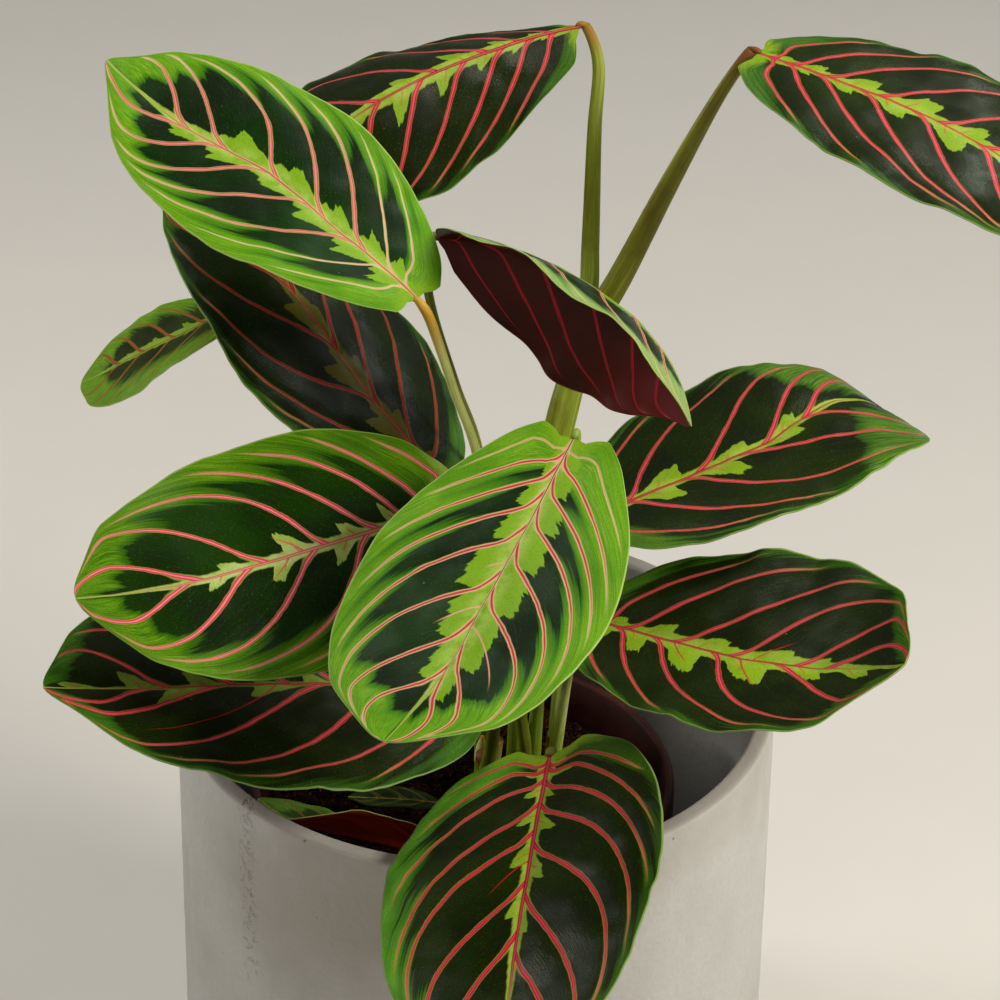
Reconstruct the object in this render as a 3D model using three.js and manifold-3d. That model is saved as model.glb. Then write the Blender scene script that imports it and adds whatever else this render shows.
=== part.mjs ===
// A prayer plant (Maranta leuconeura, red-veined) in its nursery pot, standing in a pale cast cover pot.
// Millimetres and degrees, +Z up. The origin is the centre of the cover pot's flat underside,
// and -Y is the side that the low front leaf hangs over.

import * as THREE from "three";
import { mergeVertices } from "three/addons/utils/BufferGeometryUtils.js";
import Module from "manifold-3d";

// ---------------------------------------------------------------- driving dimensions

const gap = 0.3; // clearance between pieces that touch

const coverPot = { radius: 70, height: 125, wall: 4.2, floor: 9, edge: 1.2, foot: 1.5, sides: 64 };

const nurseryPot = {
  centre: [-3, -4],
  rimRadius: 50,
  rimZ: 103,
  lipDepth: 7,
  lipWidth: 2.2,
  topRadius: 48,
  bottomRadius: 36,
  wall: 1.3,
  drainRadius: 3,
  drainCircle: 22,
  drains: 6,
  sides: 48,
};

const soil = {
  top: 94.5,
  bump: 1.3,
  rings: 8,
  sides: 44,
  holeDepth: 15,
  seed: 11,
};

const blade = { thickness: 0.7, along: 18, across: 6, endCrowding: 0.9 };

// What all blades share. The outline narrows by tipNarrowing over the last tipLength, the tip droops
// from droopStart on, and the two margins ripple offBeat radians apart. Beside the stalk, from
// notchWidth outwards, the base runs back into two round lobes, fading over lobeLength.
const bladeForm = {
  tipLength: 0.14,
  tipNarrowing: 0.35,
  droopStart: 0.6,
  droopGrowth: 1.5,
  offBeat: 1.7,
  rippleGrowth: 2.5,
  notchWidth: 3,
  lobeWidth: 5,
  lobeLength: 0.1,
};

const stalk = { sides: 8, stepsPerSpan: 3 };

// Each blade starts at its base, runs along heading (turned from +X) and pitch, and is rolled about
// that line. bend arches it down, sway turns it sideways, droop bends the last part of the tip,
// fold lifts both halves, skew lifts the right half more, cup turns the margins down, and twist
// turns the tip against the base. belly is the rise and fall of the outline, and lobes is how far
// the base runs back beside the stalk.
const leaves = [
  {
    name: "leaf_top_left", base: [-14, -2, 231], heading: 153, pitch: 22, roll: -6,
    length: 89, width: 56, bend: 13, sway: -21, droop: -33, fold: 4, skew: 3, cup: 4, twist: -18,
    belly: [0.6, 0.7], wave: 0.5, waves: 3, phase: 0.4, lobes: 4,
  },
  {
    name: "leaf_top_middle", base: [22, 78, 259], heading: -148, pitch: -10, roll: -24,
    length: 78, width: 55, bend: 13, sway: -25, droop: 34, fold: -39, skew: 3, cup: 8, twist: -14,
    belly: [0.7, 0.4], wave: 0.8, waves: 4, phase: 1.1, lobes: 4,
  },
  {
    name: "leaf_top_right", base: [62, 49, 267], heading: -33, pitch: -10, roll: 3,
    length: 90, width: 55, bend: 14, sway: 8, droop: 18, fold: 2, skew: 1, cup: 7, twist: 3,
    belly: [0.5, 0.45], wave: 0.6, waves: 4, phase: 2.0, lobes: 3,
  },
  {
    name: "leaf_folded", base: [-10, 30, 229], heading: -36, pitch: -14, roll: -68,
    length: 83, width: 53, bend: 38, sway: -46, droop: 27, fold: -34, skew: -3, cup: -4, twist: 1,
    belly: [0.75, 0.65], wave: 1.1, waves: 3, phase: 0.2, lobes: 2,
  },
  {
    name: "leaf_shaded", base: [-9, 6, 178], heading: 137, pitch: 30, roll: 15,
    length: 101, width: 60, bend: 15, sway: -3, droop: 30, fold: -2, skew: 3, cup: 12, twist: 2,
    belly: [0.5, 0.7], wave: 0.6, waves: 3, phase: 1.7, lobes: 1.5,
  },
  {
    name: "leaf_left", base: [-5, -14, 185], heading: -155, pitch: -2, roll: -29,
    length: 91, width: 59, bend: 0, sway: 7, droop: -14, fold: 0, skew: 0, cup: 2, twist: 18,
    belly: [0.4, 0.5], wave: 0.6, waves: 3, phase: 2.6, lobes: 1.5,
  },
  {
    name: "leaf_low_left", base: [1, -23, 141], heading: -159, pitch: 12, roll: -15,
    length: 105, width: 66, bend: 2, sway: -10, droop: -11, fold: 5, skew: -1, cup: 6, twist: 10,
    belly: [0.5, 0.6], wave: 0.7, waves: 4, phase: 0.9, lobes: 2,
  },
  {
    name: "leaf_front", base: [21, -24, 209], heading: -118, pitch: -22, roll: 1,
    length: 89, width: 59, bend: 0, sway: 4, droop: -16, fold: 4, skew: 1, cup: 2, twist: 15,
    belly: [0.6, 0.5], wave: 0.5, waves: 3, phase: 0.0, lobes: 6,
  },
  {
    name: "leaf_right", base: [26, 8, 168], heading: 32, pitch: 8, roll: -1,
    length: 93, width: 55, bend: 17, sway: -27, droop: 58, fold: 0, skew: -3, cup: -2, twist: 5,
    belly: [0.35, 0.43], wave: 0.7, waves: 3, phase: 1.3, lobes: 1,
  },
  {
    name: "leaf_low_right", base: [25, -12, 153], heading: -34, pitch: 10, roll: 14,
    length: 87, width: 60, bend: 1, sway: 0, droop: -30, fold: 7, skew: 2, cup: -6, twist: 6,
    belly: [0.5, 0.45], wave: 0.9, waves: 4, phase: 2.2, lobes: 2.5,
  },
  {
    name: "leaf_hanging", base: [17, -46, 139], heading: -97, pitch: -11, roll: 21,
    length: 92, width: 65, bend: 19, sway: 6, droop: 9, fold: 7, skew: 1, cup: 3, twist: -6,
    belly: [0.4, 0.5], wave: 0.6, waves: 3, phase: 0.6, lobes: 2,
  },
  {
    name: "leaf_young", base: [-54, 52, 199], heading: 172, pitch: -33, roll: -6,
    length: 50, width: 33, bend: 18, sway: 19, droop: -5, fold: 6, skew: 0, cup: 12, twist: -15,
    belly: [0.6, 0.5], wave: 0.6, waves: 2, phase: 1.0, lobes: 1,
  },
  {
    name: "leaf_tucked", base: [-7, -38, 104], heading: 166, pitch: 4, roll: 45,
    length: 46, width: 24, bend: 8, sway: 0, droop: -34, fold: 15, skew: 0, cup: 0, twist: -70,
    belly: [0.6, 0.6], wave: 0.5, waves: 2, phase: 0.3, lobes: 0,
  },
  {
    name: "leaf_newest", base: [-8, -14, 102], heading: 186, pitch: 8, roll: 10,
    length: 22, width: 12, bend: 14, sway: 10, droop: 0, fold: 8, skew: 0, cup: 8, twist: 0,
    belly: [0.6, 0.6], wave: 0.2, waves: 2, phase: 0.0, lobes: 0,
  },
];

// A shoot is a short stem in the soil with the leaf stalks that rise from it. Each stalk lists the
// points of its centre line and a radius for each; a stalk that carries a blade ends with two more
// radii, for the swollen joint that meets the blade in line with its midrib.
// flat squashes a stalk square to the direction of across.
const jointLength = 1.7;
const jointGap = 0.32;

const shoots = [
  {
    name: "shoot_main",
    foot: [9.5, 9],
    stalks: [
      {
        across: [1, 0, 0], flat: 0.72,
        points: [[9.5, 9, 79.8], [9.5, 9, 97], [11, 10, 130], [15, 16, 165], [19, 23, 186], [24, 33, 202]],
        radii: [2.4, 2.3, 2.3, 3.0, 3.6, 2.9],
      },
      {
        carries: "leaf_top_middle", across: [1, 0, 0], flat: 0.8,
        points: [[20.5, 27, 192], [24.6, 38, 208], [25.2, 47, 219], [25.8, 62, 240], [26.6, 72.5, 252]],
        radii: [2.4, 2.3, 2.1, 1.7, 1.45, 1.35, 1.15],
      },
      {
        carries: "leaf_top_right", across: [0.9, 0, -0.4], flat: 0.62,
        points: [[21, 28, 194], [27, 35, 206], [32.8, 38, 216.5], [43.4, 43, 238], [53.5, 47.2, 257]],
        radii: [2.8, 3.1, 2.9, 2.3, 1.6, 1.45, 1.2],
      },
    ],
  },
  {
    name: "shoot_left",
    foot: [2, 16],
    stalks: [
      {
        across: [1, 0, 0], flat: 1,
        points: [[2, 16, 79.8], [2, 16, 97], [2.4, 15.6, 108]],
        radii: [2.5, 2.4, 2.2],
      },
      {
        carries: "leaf_top_left", across: [1, 0, 0], flat: 0.9,
        points: [
          [2.6, 15.4, 100], [4, 11, 122], [3.5, 4, 155],
          [0, -3.3, 190], [-5.5, -2.9, 208], [-10.6, -2.6, 225],
        ],
        radii: [1.8, 1.5, 1.3, 1.15, 1.1, 1.25, 1.3, 1.1],
      },
      {
        carries: "leaf_folded", across: [1, 0, 0], flat: 0.9,
        points: [
          [3, 17.4, 100], [3.4, 19.5, 138], [0.2, 17, 178],
          [-5.6, 20.5, 196], [-11, 24.6, 213], [-13, 28.6, 224],
        ],
        radii: [1.7, 1.3, 1.2, 1.1, 1.05, 1.2, 1.2, 1.05],
      },
      {
        carries: "leaf_shaded", across: [1, 0, 0], flat: 0.9,
        points: [[1.4, 15, 100], [-1.6, 13, 135], [-5.6, 8, 165]],
        radii: [1.7, 1.4, 1.25, 1.25, 1.1],
      },
      {
        carries: "leaf_young", across: [0, 1, 0], flat: 0.9,
        points: [[1, 16.8, 100], [-12, 26, 130], [-34, 40, 165], [-49, 50.4, 190.5]],
        radii: [1.6, 1.2, 1, 0.95, 0.95, 0.85],
      },
    ],
  },
  {
    name: "shoot_front",
    foot: [13.5, 5.5],
    stalks: [
      {
        across: [1, 0, 0], flat: 1,
        points: [[13.5, 5.5, 79.8], [13.5, 5.5, 97], [13.4, 5, 104]],
        radii: [2.1, 2.1, 1.8],
      },
      {
        carries: "leaf_front", across: [1, 0, 0], flat: 0.9,
        points: [[13.6, 4.8, 98], [15, 0, 130], [18.6, -11, 168], [21, -20, 200]],
        radii: [1.8, 1.5, 1.35, 1.3, 1.3, 1.15],
      },
      {
        carries: "leaf_left", across: [1, 0, 0], flat: 0.9,
        points: [[13, 5, 98], [8, -3.4, 135], [2.6, -9, 168], [-1.2, -12, 180.5]],
        radii: [1.7, 1.4, 1.3, 1.3, 1.3, 1.15],
      },
      {
        carries: "leaf_hanging", across: [1, 0, 0], flat: 0.9,
        points: [[13.6, 4.6, 98], [14.6, -10, 108], [16.2, -29, 123], [17, -40, 134]],
        radii: [1.7, 1.5, 1.35, 1.35, 1.3, 1.15],
      },
    ],
  },
  {
    name: "shoot_right",
    foot: [18.5, 12.5],
    stalks: [
      {
        across: [1, 0, 0], flat: 1,
        points: [[18.5, 12.5, 79.8], [18.5, 12.5, 97], [18.8, 11.9, 104]],
        radii: [2.1, 2.1, 1.9],
      },
      {
        carries: "leaf_right", across: [1, 0, 0], flat: 0.9,
        points: [[18.6, 12, 98], [20, 10.6, 125], [22.6, 8.6, 150], [24, 7.3, 162]],
        radii: [1.7, 1.4, 1.3, 1.3, 1.3, 1.15],
      },
      {
        carries: "leaf_low_right", across: [1, 0, 0], flat: 0.9,
        points: [[18.8, 11.6, 98], [21, 3, 125], [22.6, -6, 141], [23.6, -10, 149.5]],
        radii: [1.7, 1.4, 1.3, 1.3, 1.3, 1.15],
      },
    ],
  },
  {
    name: "shoot_low",
    foot: [2, 4],
    stalks: [
      {
        across: [1, 0, 0], flat: 1,
        points: [[2, 4, 79.8], [2, 4, 97], [2.1, 3.6, 104]],
        radii: [2.4, 2.4, 2],
      },
      {
        carries: "leaf_low_left", across: [1, 0, 0], flat: 0.9,
        points: [[2.4, 3.4, 98.5], [3.6, -6, 112], [4.4, -15, 127], [3.6, -20.6, 136.5]],
        radii: [1.8, 1.6, 1.45, 1.4, 1.35, 1.15],
      },
      {
        across: [1, 0, 0], flat: 1, // an old leaf stalk, cut off
        points: [[3.2, 3.8, 98], [4.5, 2.9, 103], [5.1, 2.2, 109]],
        radii: [1.6, 1.5, 1.5],
      },
      {
        across: [1, 0, 0], flat: 1, // a bud
        points: [[1.6, 5, 98], [1.2, 6.4, 102], [1.5, 7.1, 106.5]],
        radii: [1.6, 1.5, 0.5],
      },
      {
        carries: "leaf_tucked", across: [0, 0, 1], flat: 1,
        points: [[1.6, 2, 98.8], [0.8, -14, 100.8], [0.4, -29, 103], [-2.2, -36.8, 103.9]],
        radii: [1.4, 1, 0.9, 0.9, 0.9, 0.8],
      },
      {
        carries: "leaf_newest", across: [0, 0, 1], flat: 1,
        points: [[1.4, 3, 98.8], [-1, -6, 101], [-3.6, -12, 101.6]],
        radii: [1.3, 0.9, 0.8, 0.8, 0.7],
      },
    ],
  },
];

// ---------------------------------------------------------------- materials

function finish(color, roughness) {
  return new THREE.MeshStandardMaterial({ color, roughness, metalness: 0 });
}

const castGrey = finish(0xb9b8b1, 0.8);
const redBrownPlastic = finish(0x4a1c14, 0.5);
const peat = finish(0x2a1a11, 1);
const stalkGreen = finish(0x8aa04a, 0.5);
const leafGreen = finish(0x2f5a1c, 0.4);

// ---------------------------------------------------------------- solids and booleans

const wasm = await Module();
wasm.setup();

function solidOf(geometry) {
  const plain = geometry.clone();
  for (const name of Object.keys(plain.attributes)) {
    if (name !== "position") plain.deleteAttribute(name);
  }
  const merged = mergeVertices(plain, 1e-4);
  return new wasm.Manifold(
    new wasm.Mesh({
      numProp: 3,
      vertProperties: merged.attributes.position.array,
      triVerts: new Uint32Array(merged.index.array),
    }),
  );
}

function geometryOf(solid) {
  const mesh = solid.getMesh();
  const positions = new Float32Array(mesh.numVert * 3);
  for (let i = 0; i < mesh.numVert; i++) {
    positions.set(mesh.vertProperties.subarray(i * mesh.numProp, i * mesh.numProp + 3), i * 3);
  }
  const geometry = new THREE.BufferGeometry();
  geometry.setAttribute("position", new THREE.BufferAttribute(positions, 3));
  geometry.setIndex(new THREE.BufferAttribute(mesh.triVerts, 1));
  geometry.computeVertexNormals();
  return geometry;
}

function indexedGeometry(points, triangles) {
  const geometry = new THREE.BufferGeometry().setFromPoints(points);
  geometry.setIndex(triangles);
  geometry.computeVertexNormals();
  return geometry;
}

function lathe(profile, sides) {
  const outline = profile.map(([radius, z]) => new THREE.Vector2(radius, z));
  return new THREE.LatheGeometry(outline, sides).rotateX(Math.PI / 2);
}

const smooth = (t) => t * t * (3 - 2 * t);
const clamp01 = (t) => Math.min(1, Math.max(0, t));
const radians = THREE.MathUtils.degToRad;

// ---------------------------------------------------------------- cover pot

function coverPotGeometry() {
  const { radius, height, wall, floor, edge, foot, sides } = coverPot;
  const inner = radius - wall;
  const profile = [
    [0, 0],
    [radius - foot, 0],
    [radius, foot],
    [radius, height - edge],
    [radius - edge * 0.3, height - edge * 0.3],
    [radius - edge, height],
    [inner + edge, height],
    [inner + edge * 0.3, height - edge * 0.3],
    [inner, height - edge],
    [inner, floor + edge * 2],
    [inner - edge * 2, floor],
    [0, floor],
  ];
  return lathe(profile, sides);
}

// ---------------------------------------------------------------- nursery pot

function nurseryPotGeometry() {
  const { centre, rimRadius, rimZ, lipDepth, lipWidth, topRadius, bottomRadius, wall, sides } = nurseryPot;
  const bottom = coverPot.floor + gap;
  const profile = [
    [0, bottom],
    [bottomRadius, bottom],
    [topRadius, rimZ - lipDepth],
    [rimRadius, rimZ - lipDepth],
    [rimRadius, rimZ - 0.4],
    [rimRadius - 0.4, rimZ],
    [rimRadius - lipWidth, rimZ],
    [topRadius - wall, rimZ - lipDepth],
    [bottomRadius - wall, bottom + wall],
    [0, bottom + wall],
  ];
  let pot = solidOf(lathe(profile, sides));
  const { drains, drainCircle, drainRadius } = nurseryPot;
  for (let i = 0; i < drains; i++) {
    const angle = (i / drains) * Math.PI * 2;
    const hole = new THREE.CylinderGeometry(drainRadius, drainRadius, wall * 4, 12);
    hole.rotateX(Math.PI / 2);
    hole.translate(Math.cos(angle) * drainCircle, Math.sin(angle) * drainCircle, bottom);
    pot = pot.subtract(solidOf(hole));
  }
  return geometryOf(pot).translate(centre[0], centre[1], 0);
}

// ---------------------------------------------------------------- soil

// A repeatable stream of numbers from 0 to 1.
function seeded(seed) {
  let state = seed;
  return () => {
    state = (state * 1664525 + 1013904223) % 4294967296;
    return state / 4294967296;
  };
}

function nurseryInnerRadius(z) {
  const { topRadius, bottomRadius, wall, rimZ, lipDepth } = nurseryPot;
  const low = coverPot.floor + gap;
  const t = (z - low) / (rimZ - lipDepth - low);
  return bottomRadius + (topRadius - bottomRadius) * t - wall;
}

function soilGeometry() {
  const { top, bump, rings, sides, seed } = soil;
  const random = seeded(seed);
  const bottom = coverPot.floor + gap + nurseryPot.wall + gap;
  const points = [new THREE.Vector3(0, 0, bottom)];
  const triangles = [];
  const ringOf = (radius, heightAt) => {
    const first = points.length;
    for (let i = 0; i < sides; i++) {
      const angle = (i / sides) * Math.PI * 2;
      points.push(new THREE.Vector3(Math.cos(angle) * radius, Math.sin(angle) * radius, heightAt(i)));
    }
    return first;
  };
  const band = (low, high) => {
    for (let i = 0; i < sides; i++) {
      const j = (i + 1) % sides;
      triangles.push(low + i, low + j, high + j, low + i, high + j, high + i);
    }
  };
  const wallRadius = (z) => nurseryInnerRadius(z) - 2 * gap;
  let last = ringOf(wallRadius(bottom), () => bottom);
  for (let i = 0; i < sides; i++) triangles.push(0, last + ((i + 1) % sides), last + i);
  for (let k = rings; k >= 1; k--) {
    const z = k === rings ? () => top - bump : () => top + (random() * 2 - 1) * bump;
    const next = ringOf(wallRadius(top) * (k / rings), z);
    band(last, next);
    last = next;
  }
  const middle = points.push(new THREE.Vector3(0, 0, top)) - 1;
  for (let i = 0; i < sides; i++) triangles.push(last + i, last + ((i + 1) % sides), middle);
  return indexedGeometry(points, triangles).translate(nurseryPot.centre[0], nurseryPot.centre[1], 0);
}

function soilWithHoles() {
  let body = solidOf(soilGeometry());
  for (const shoot of shoots) {
    const radius = shoot.stalks[0].radii[0] + gap;
    const hole = new THREE.CylinderGeometry(radius, radius, soil.holeDepth * 2, 16);
    hole.rotateX(Math.PI / 2);
    hole.translate(shoot.foot[0], shoot.foot[1], soil.top);
    body = body.subtract(solidOf(hole));
  }
  return geometryOf(body);
}

// ---------------------------------------------------------------- shape of a leaf

// Half width of the blade at s, from 0 at its base to 1 at its tip, as a share of the widest half.
function outline(s, [rise, fall]) {
  const widest = rise / (rise + fall);
  const body = Math.pow(s / widest, rise) * Math.pow((1 - s) / (1 - widest), fall);
  const { tipLength, tipNarrowing } = bladeForm;
  return body * (1 - tipNarrowing * smooth(clamp01((s - 1 + tipLength) / tipLength)));
}

function leafAxes({ heading, pitch, roll }) {
  const [h, p, r] = [heading, pitch, roll].map(radians);
  const along = new THREE.Vector3(Math.cos(p) * Math.cos(h), Math.cos(p) * Math.sin(h), Math.sin(p));
  const level = new THREE.Vector3(Math.sin(h), -Math.cos(h), 0);
  const upright = new THREE.Vector3().crossVectors(level, along);
  const right = level.clone().multiplyScalar(Math.cos(r)).addScaledVector(upright, -Math.sin(r));
  const up = level.clone().multiplyScalar(Math.sin(r)).addScaledVector(upright, Math.cos(r));
  return { along, right, up };
}

// The direction of the midrib at s.
function midribTangent(leaf, { along, right, up }, s) {
  const { droopStart, droopGrowth } = bladeForm;
  const tip = Math.pow(clamp01((s - droopStart) / (1 - droopStart)), droopGrowth);
  const lift = radians(leaf.bend) * (0.5 - s) - radians(leaf.droop) * tip;
  const turn = radians(leaf.sway) * (s - 0.5);
  return along
    .clone()
    .multiplyScalar(Math.cos(lift) * Math.cos(turn))
    .addScaledVector(up, Math.sin(lift))
    .addScaledVector(right, Math.sin(turn) * Math.cos(lift))
    .normalize();
}

// Points of the middle surface, as a function of s along the blade and v across it, -1 to 1.
function bladeSurface(leaf) {
  const fine = 128;
  const { offBeat, rippleGrowth, notchWidth, lobeWidth, lobeLength } = bladeForm;
  const axes = leafAxes(leaf);
  const midrib = [new THREE.Vector3(...leaf.base)];
  for (let i = 0; i < fine; i++) {
    const step = midribTangent(leaf, axes, (i + 0.5) / fine).multiplyScalar(leaf.length / fine);
    midrib.push(midrib[i].clone().add(step));
  }
  return (s, v) => {
    const i = Math.min(fine - 1, Math.floor(s * fine));
    const centre = midrib[i].clone().lerp(midrib[i + 1], s * fine - i);
    const tangent = midribTangent(leaf, axes, s);
    const flatRight = new THREE.Vector3().crossVectors(tangent, axes.up).normalize();
    const flatUp = new THREE.Vector3().crossVectors(flatRight, tangent);
    const turn = radians(leaf.twist) * (s - 0.5);
    const right = flatRight.clone().multiplyScalar(Math.cos(turn)).addScaledVector(flatUp, -Math.sin(turn));
    const up = flatRight.multiplyScalar(Math.sin(turn)).addScaledVector(flatUp, Math.cos(turn));
    const side = Math.sign(v);
    const a = Math.abs(v);
    const reach = (leaf.width / 2) * outline(s, leaf.belly) * a;
    const angle = radians(leaf.fold + side * leaf.skew - (leaf.cup * a) / 2);
    const ripple = Math.sin(2 * Math.PI * leaf.waves * s + leaf.phase + (side < 0 ? offBeat : 0));
    const wave = leaf.wave * Math.pow(a, rippleGrowth) * ripple * Math.sqrt(Math.sin(Math.PI * s));
    const back = leaf.lobes * clamp01((reach - notchWidth) / lobeWidth) * Math.exp(-((s / lobeLength) ** 2));
    return centre
      .addScaledVector(tangent, -back)
      .addScaledVector(right, side * reach * Math.cos(angle))
      .addScaledVector(up, reach * Math.sin(angle) + wave);
  };
}

// ---------------------------------------------------------------- stalks and shoots

// The centre line of a stalk, with the two points of its joint where it carries a blade.
function stalkLine({ points, carries }) {
  const line = points.map((p) => new THREE.Vector3(...p));
  const leaf = leaves.find((one) => one.name === carries);
  if (leaf) {
    const start = new THREE.Vector3(...leaf.base);
    const tangent = midribTangent(leaf, leafAxes(leaf), 0);
    line.push(start.clone().addScaledVector(tangent, -jointGap - jointLength));
    line.push(start.clone().addScaledVector(tangent, -jointGap));
  }
  return line;
}

function stalkGeometry(one) {
  const { radii, across, flat } = one;
  const line = stalkLine(one);
  const curve = new THREE.CatmullRomCurve3(line, false, "centripetal");
  const wide = new THREE.Vector3(...across);
  const spans = line.length - 1;
  const steps = spans * stalk.stepsPerSpan;
  const rings = [];
  const triangles = [];
  for (let k = 0; k <= steps; k++) {
    const t = k / steps;
    const centre = curve.getPoint(t);
    const tangent = curve.getTangent(t);
    const side = wide.clone().addScaledVector(tangent, -wide.dot(tangent)).normalize();
    const thick = new THREE.Vector3().crossVectors(tangent, side);
    const span = Math.min(spans - 1, Math.floor(t * spans));
    const radius = THREE.MathUtils.lerp(radii[span], radii[span + 1], smooth(t * spans - span));
    for (let i = 0; i < stalk.sides; i++) {
      const angle = ((i + 0.5) / stalk.sides) * Math.PI * 2;
      rings.push(
        centre
          .clone()
          .addScaledVector(side, Math.cos(angle) * radius)
          .addScaledVector(thick, Math.sin(angle) * radius * flat),
      );
    }
  }
  const at = (k, i) => k * stalk.sides + (i % stalk.sides);
  for (let k = 0; k < steps; k++) {
    for (let i = 0; i < stalk.sides; i++) {
      triangles.push(at(k, i), at(k, i + 1), at(k + 1, i + 1), at(k, i), at(k + 1, i + 1), at(k + 1, i));
    }
  }
  const start = rings.push(line[0]) - 1;
  const end = rings.push(line[spans]) - 1;
  for (let i = 0; i < stalk.sides; i++) {
    triangles.push(start, at(0, i + 1), at(0, i), end, at(steps, i), at(steps, i + 1));
  }
  return indexedGeometry(rings, triangles);
}

function shootGeometry(shoot) {
  const solids = shoot.stalks.map((one) => solidOf(stalkGeometry(one)));
  return geometryOf(solids.reduce((joined, next) => joined.add(next)));
}

// ---------------------------------------------------------------- leaf blades

function bladeGeometry(leaf) {
  const { thickness, along, across, endCrowding } = blade;
  const surface = bladeSurface(leaf);
  const axes = leafAxes(leaf);
  const half = thickness / 2;
  const station = (i) => i / along - (endCrowding * Math.sin((2 * Math.PI * i) / along)) / (2 * Math.PI);
  const normalAt = (s, v) => {
    const e = 0.004;
    const [s0, s1] = [Math.max(e, s - e), Math.min(1 - e, s + e)];
    const ds = surface(s1, v).sub(surface(s0, v));
    const dv = surface(clamp01(s), Math.min(1, v + 0.1)).sub(surface(clamp01(s), Math.max(-1, v - 0.1)));
    const normal = new THREE.Vector3().crossVectors(dv, ds).normalize();
    return normal.dot(axes.up) < 0 ? normal.negate() : normal;
  };
  const points = [];
  const put = (point, normal, offset) => points.push(point.clone().addScaledVector(normal, offset)) - 1;
  const faces = { top: [], bottom: [] };
  for (let i = 1; i < along; i++) {
    const rows = { top: [], bottom: [] };
    for (let j = 0; j <= across; j++) {
      const [s, v] = [station(i), (2 * j) / across - 1];
      const normal = normalAt(s, v);
      rows.top.push(put(surface(s, v), normal, half));
      rows.bottom.push(put(surface(s, v), normal, -half));
    }
    faces.top.push(rows.top);
    faces.bottom.push(rows.bottom);
  }
  const endPoints = (s, near) => {
    const normal = normalAt(near, 0);
    return { top: put(surface(s, 0), normal, half), bottom: put(surface(s, 0), normal, -half) };
  };
  const base = endPoints(0, station(1));
  const tip = endPoints(1, station(along - 1));
  const triangles = [];
  const face = (a, b, c, flip) => triangles.push(...(flip ? [a, c, b] : [a, b, c]));
  for (const layer of ["top", "bottom"]) {
    const rows = faces[layer];
    const flip = layer === "bottom";
    for (let i = 0; i + 1 < rows.length; i++) {
      for (let j = 0; j < across; j++) {
        const [a, b, c, d] = [rows[i][j], rows[i][j + 1], rows[i + 1][j + 1], rows[i + 1][j]];
        face(a, b, c, flip);
        face(a, c, d, flip);
      }
    }
    const last = rows[rows.length - 1];
    for (let j = 0; j < across; j++) {
      face(base[layer], rows[0][j + 1], rows[0][j], flip);
      face(tip[layer], last[j], last[j + 1], flip);
    }
  }
  for (const [j, flip] of [[0, false], [across, true]]) {
    const top = [base.top, ...faces.top.map((row) => row[j]), tip.top];
    const bottom = [base.bottom, ...faces.bottom.map((row) => row[j]), tip.bottom];
    for (let i = 0; i + 1 < top.length; i++) {
      face(top[i], top[i + 1], bottom[i + 1], flip);
      face(top[i], bottom[i + 1], bottom[i], flip);
    }
  }
  return indexedGeometry(points, triangles);
}

// ---------------------------------------------------------------- assembly

const plant = new THREE.Group();

function addPiece(name, geometry, material) {
  const piece = new THREE.Mesh(geometry, material);
  piece.name = name;
  plant.add(piece);
}

addPiece("cover_pot", coverPotGeometry(), castGrey);
addPiece("nursery_pot", nurseryPotGeometry(), redBrownPlastic);
addPiece("soil", soilWithHoles(), peat);
for (const shoot of shoots) addPiece(shoot.name, shootGeometry(shoot), stalkGreen);
for (const leaf of leaves) addPiece(leaf.name, bladeGeometry(leaf), leafGreen);

export default plant;
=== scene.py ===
import math
from types import SimpleNamespace

import bpy
import numpy as np
from mathutils import Matrix, Vector, noise


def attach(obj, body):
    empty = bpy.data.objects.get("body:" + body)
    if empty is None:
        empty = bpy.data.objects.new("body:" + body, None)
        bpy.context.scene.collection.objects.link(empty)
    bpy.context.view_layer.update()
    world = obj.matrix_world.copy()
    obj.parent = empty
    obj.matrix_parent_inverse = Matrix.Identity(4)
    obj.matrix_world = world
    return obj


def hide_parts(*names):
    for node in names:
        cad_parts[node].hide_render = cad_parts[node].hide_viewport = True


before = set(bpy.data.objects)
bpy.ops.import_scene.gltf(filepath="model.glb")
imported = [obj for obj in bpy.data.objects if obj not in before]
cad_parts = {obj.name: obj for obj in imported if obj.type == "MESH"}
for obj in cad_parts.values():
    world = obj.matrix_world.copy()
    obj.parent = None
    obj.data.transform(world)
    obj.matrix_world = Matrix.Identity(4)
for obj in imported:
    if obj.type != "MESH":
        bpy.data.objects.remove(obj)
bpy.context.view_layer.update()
mm = 0.001


def tint(code):
    # "#rrggbb" as the screen shows it, to linear light
    parts = [int(code[i:i + 2], 16) / 255 for i in (1, 3, 5)]
    return tuple(c / 12.92 if c <= 0.04045 else ((c + 0.055) / 1.055) ** 2.4 for c in parts) + (1,)


def ease(x, low, high):
    # 0 up to low, 1 from high on, and a smooth step between them
    t = np.clip((x - low) / (high - low), 0, 1)
    return t * t * (3 - 2 * t)


def unit(v):
    return v / np.maximum(np.linalg.norm(v, axis=-1, keepdims=True), 1e-12)


class Wire:
    # The output of a material's node, which is added, subtracted and multiplied as a number is.
    def __init__(self, paint, socket):
        self.paint = paint
        self.socket = socket

    def __add__(self, other):
        return self.paint.sum("ADD", self, other)

    def __sub__(self, other):
        return self.paint.sum("SUBTRACT", self, other)

    def __rsub__(self, other):
        return self.paint.sum("SUBTRACT", other, self)

    def __mul__(self, other):
        return self.paint.sum("MULTIPLY", self, other)

    def __abs__(self):
        return self.paint.sum("ABSOLUTE", self)

    __radd__ = __add__
    __rmul__ = __mul__


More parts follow.
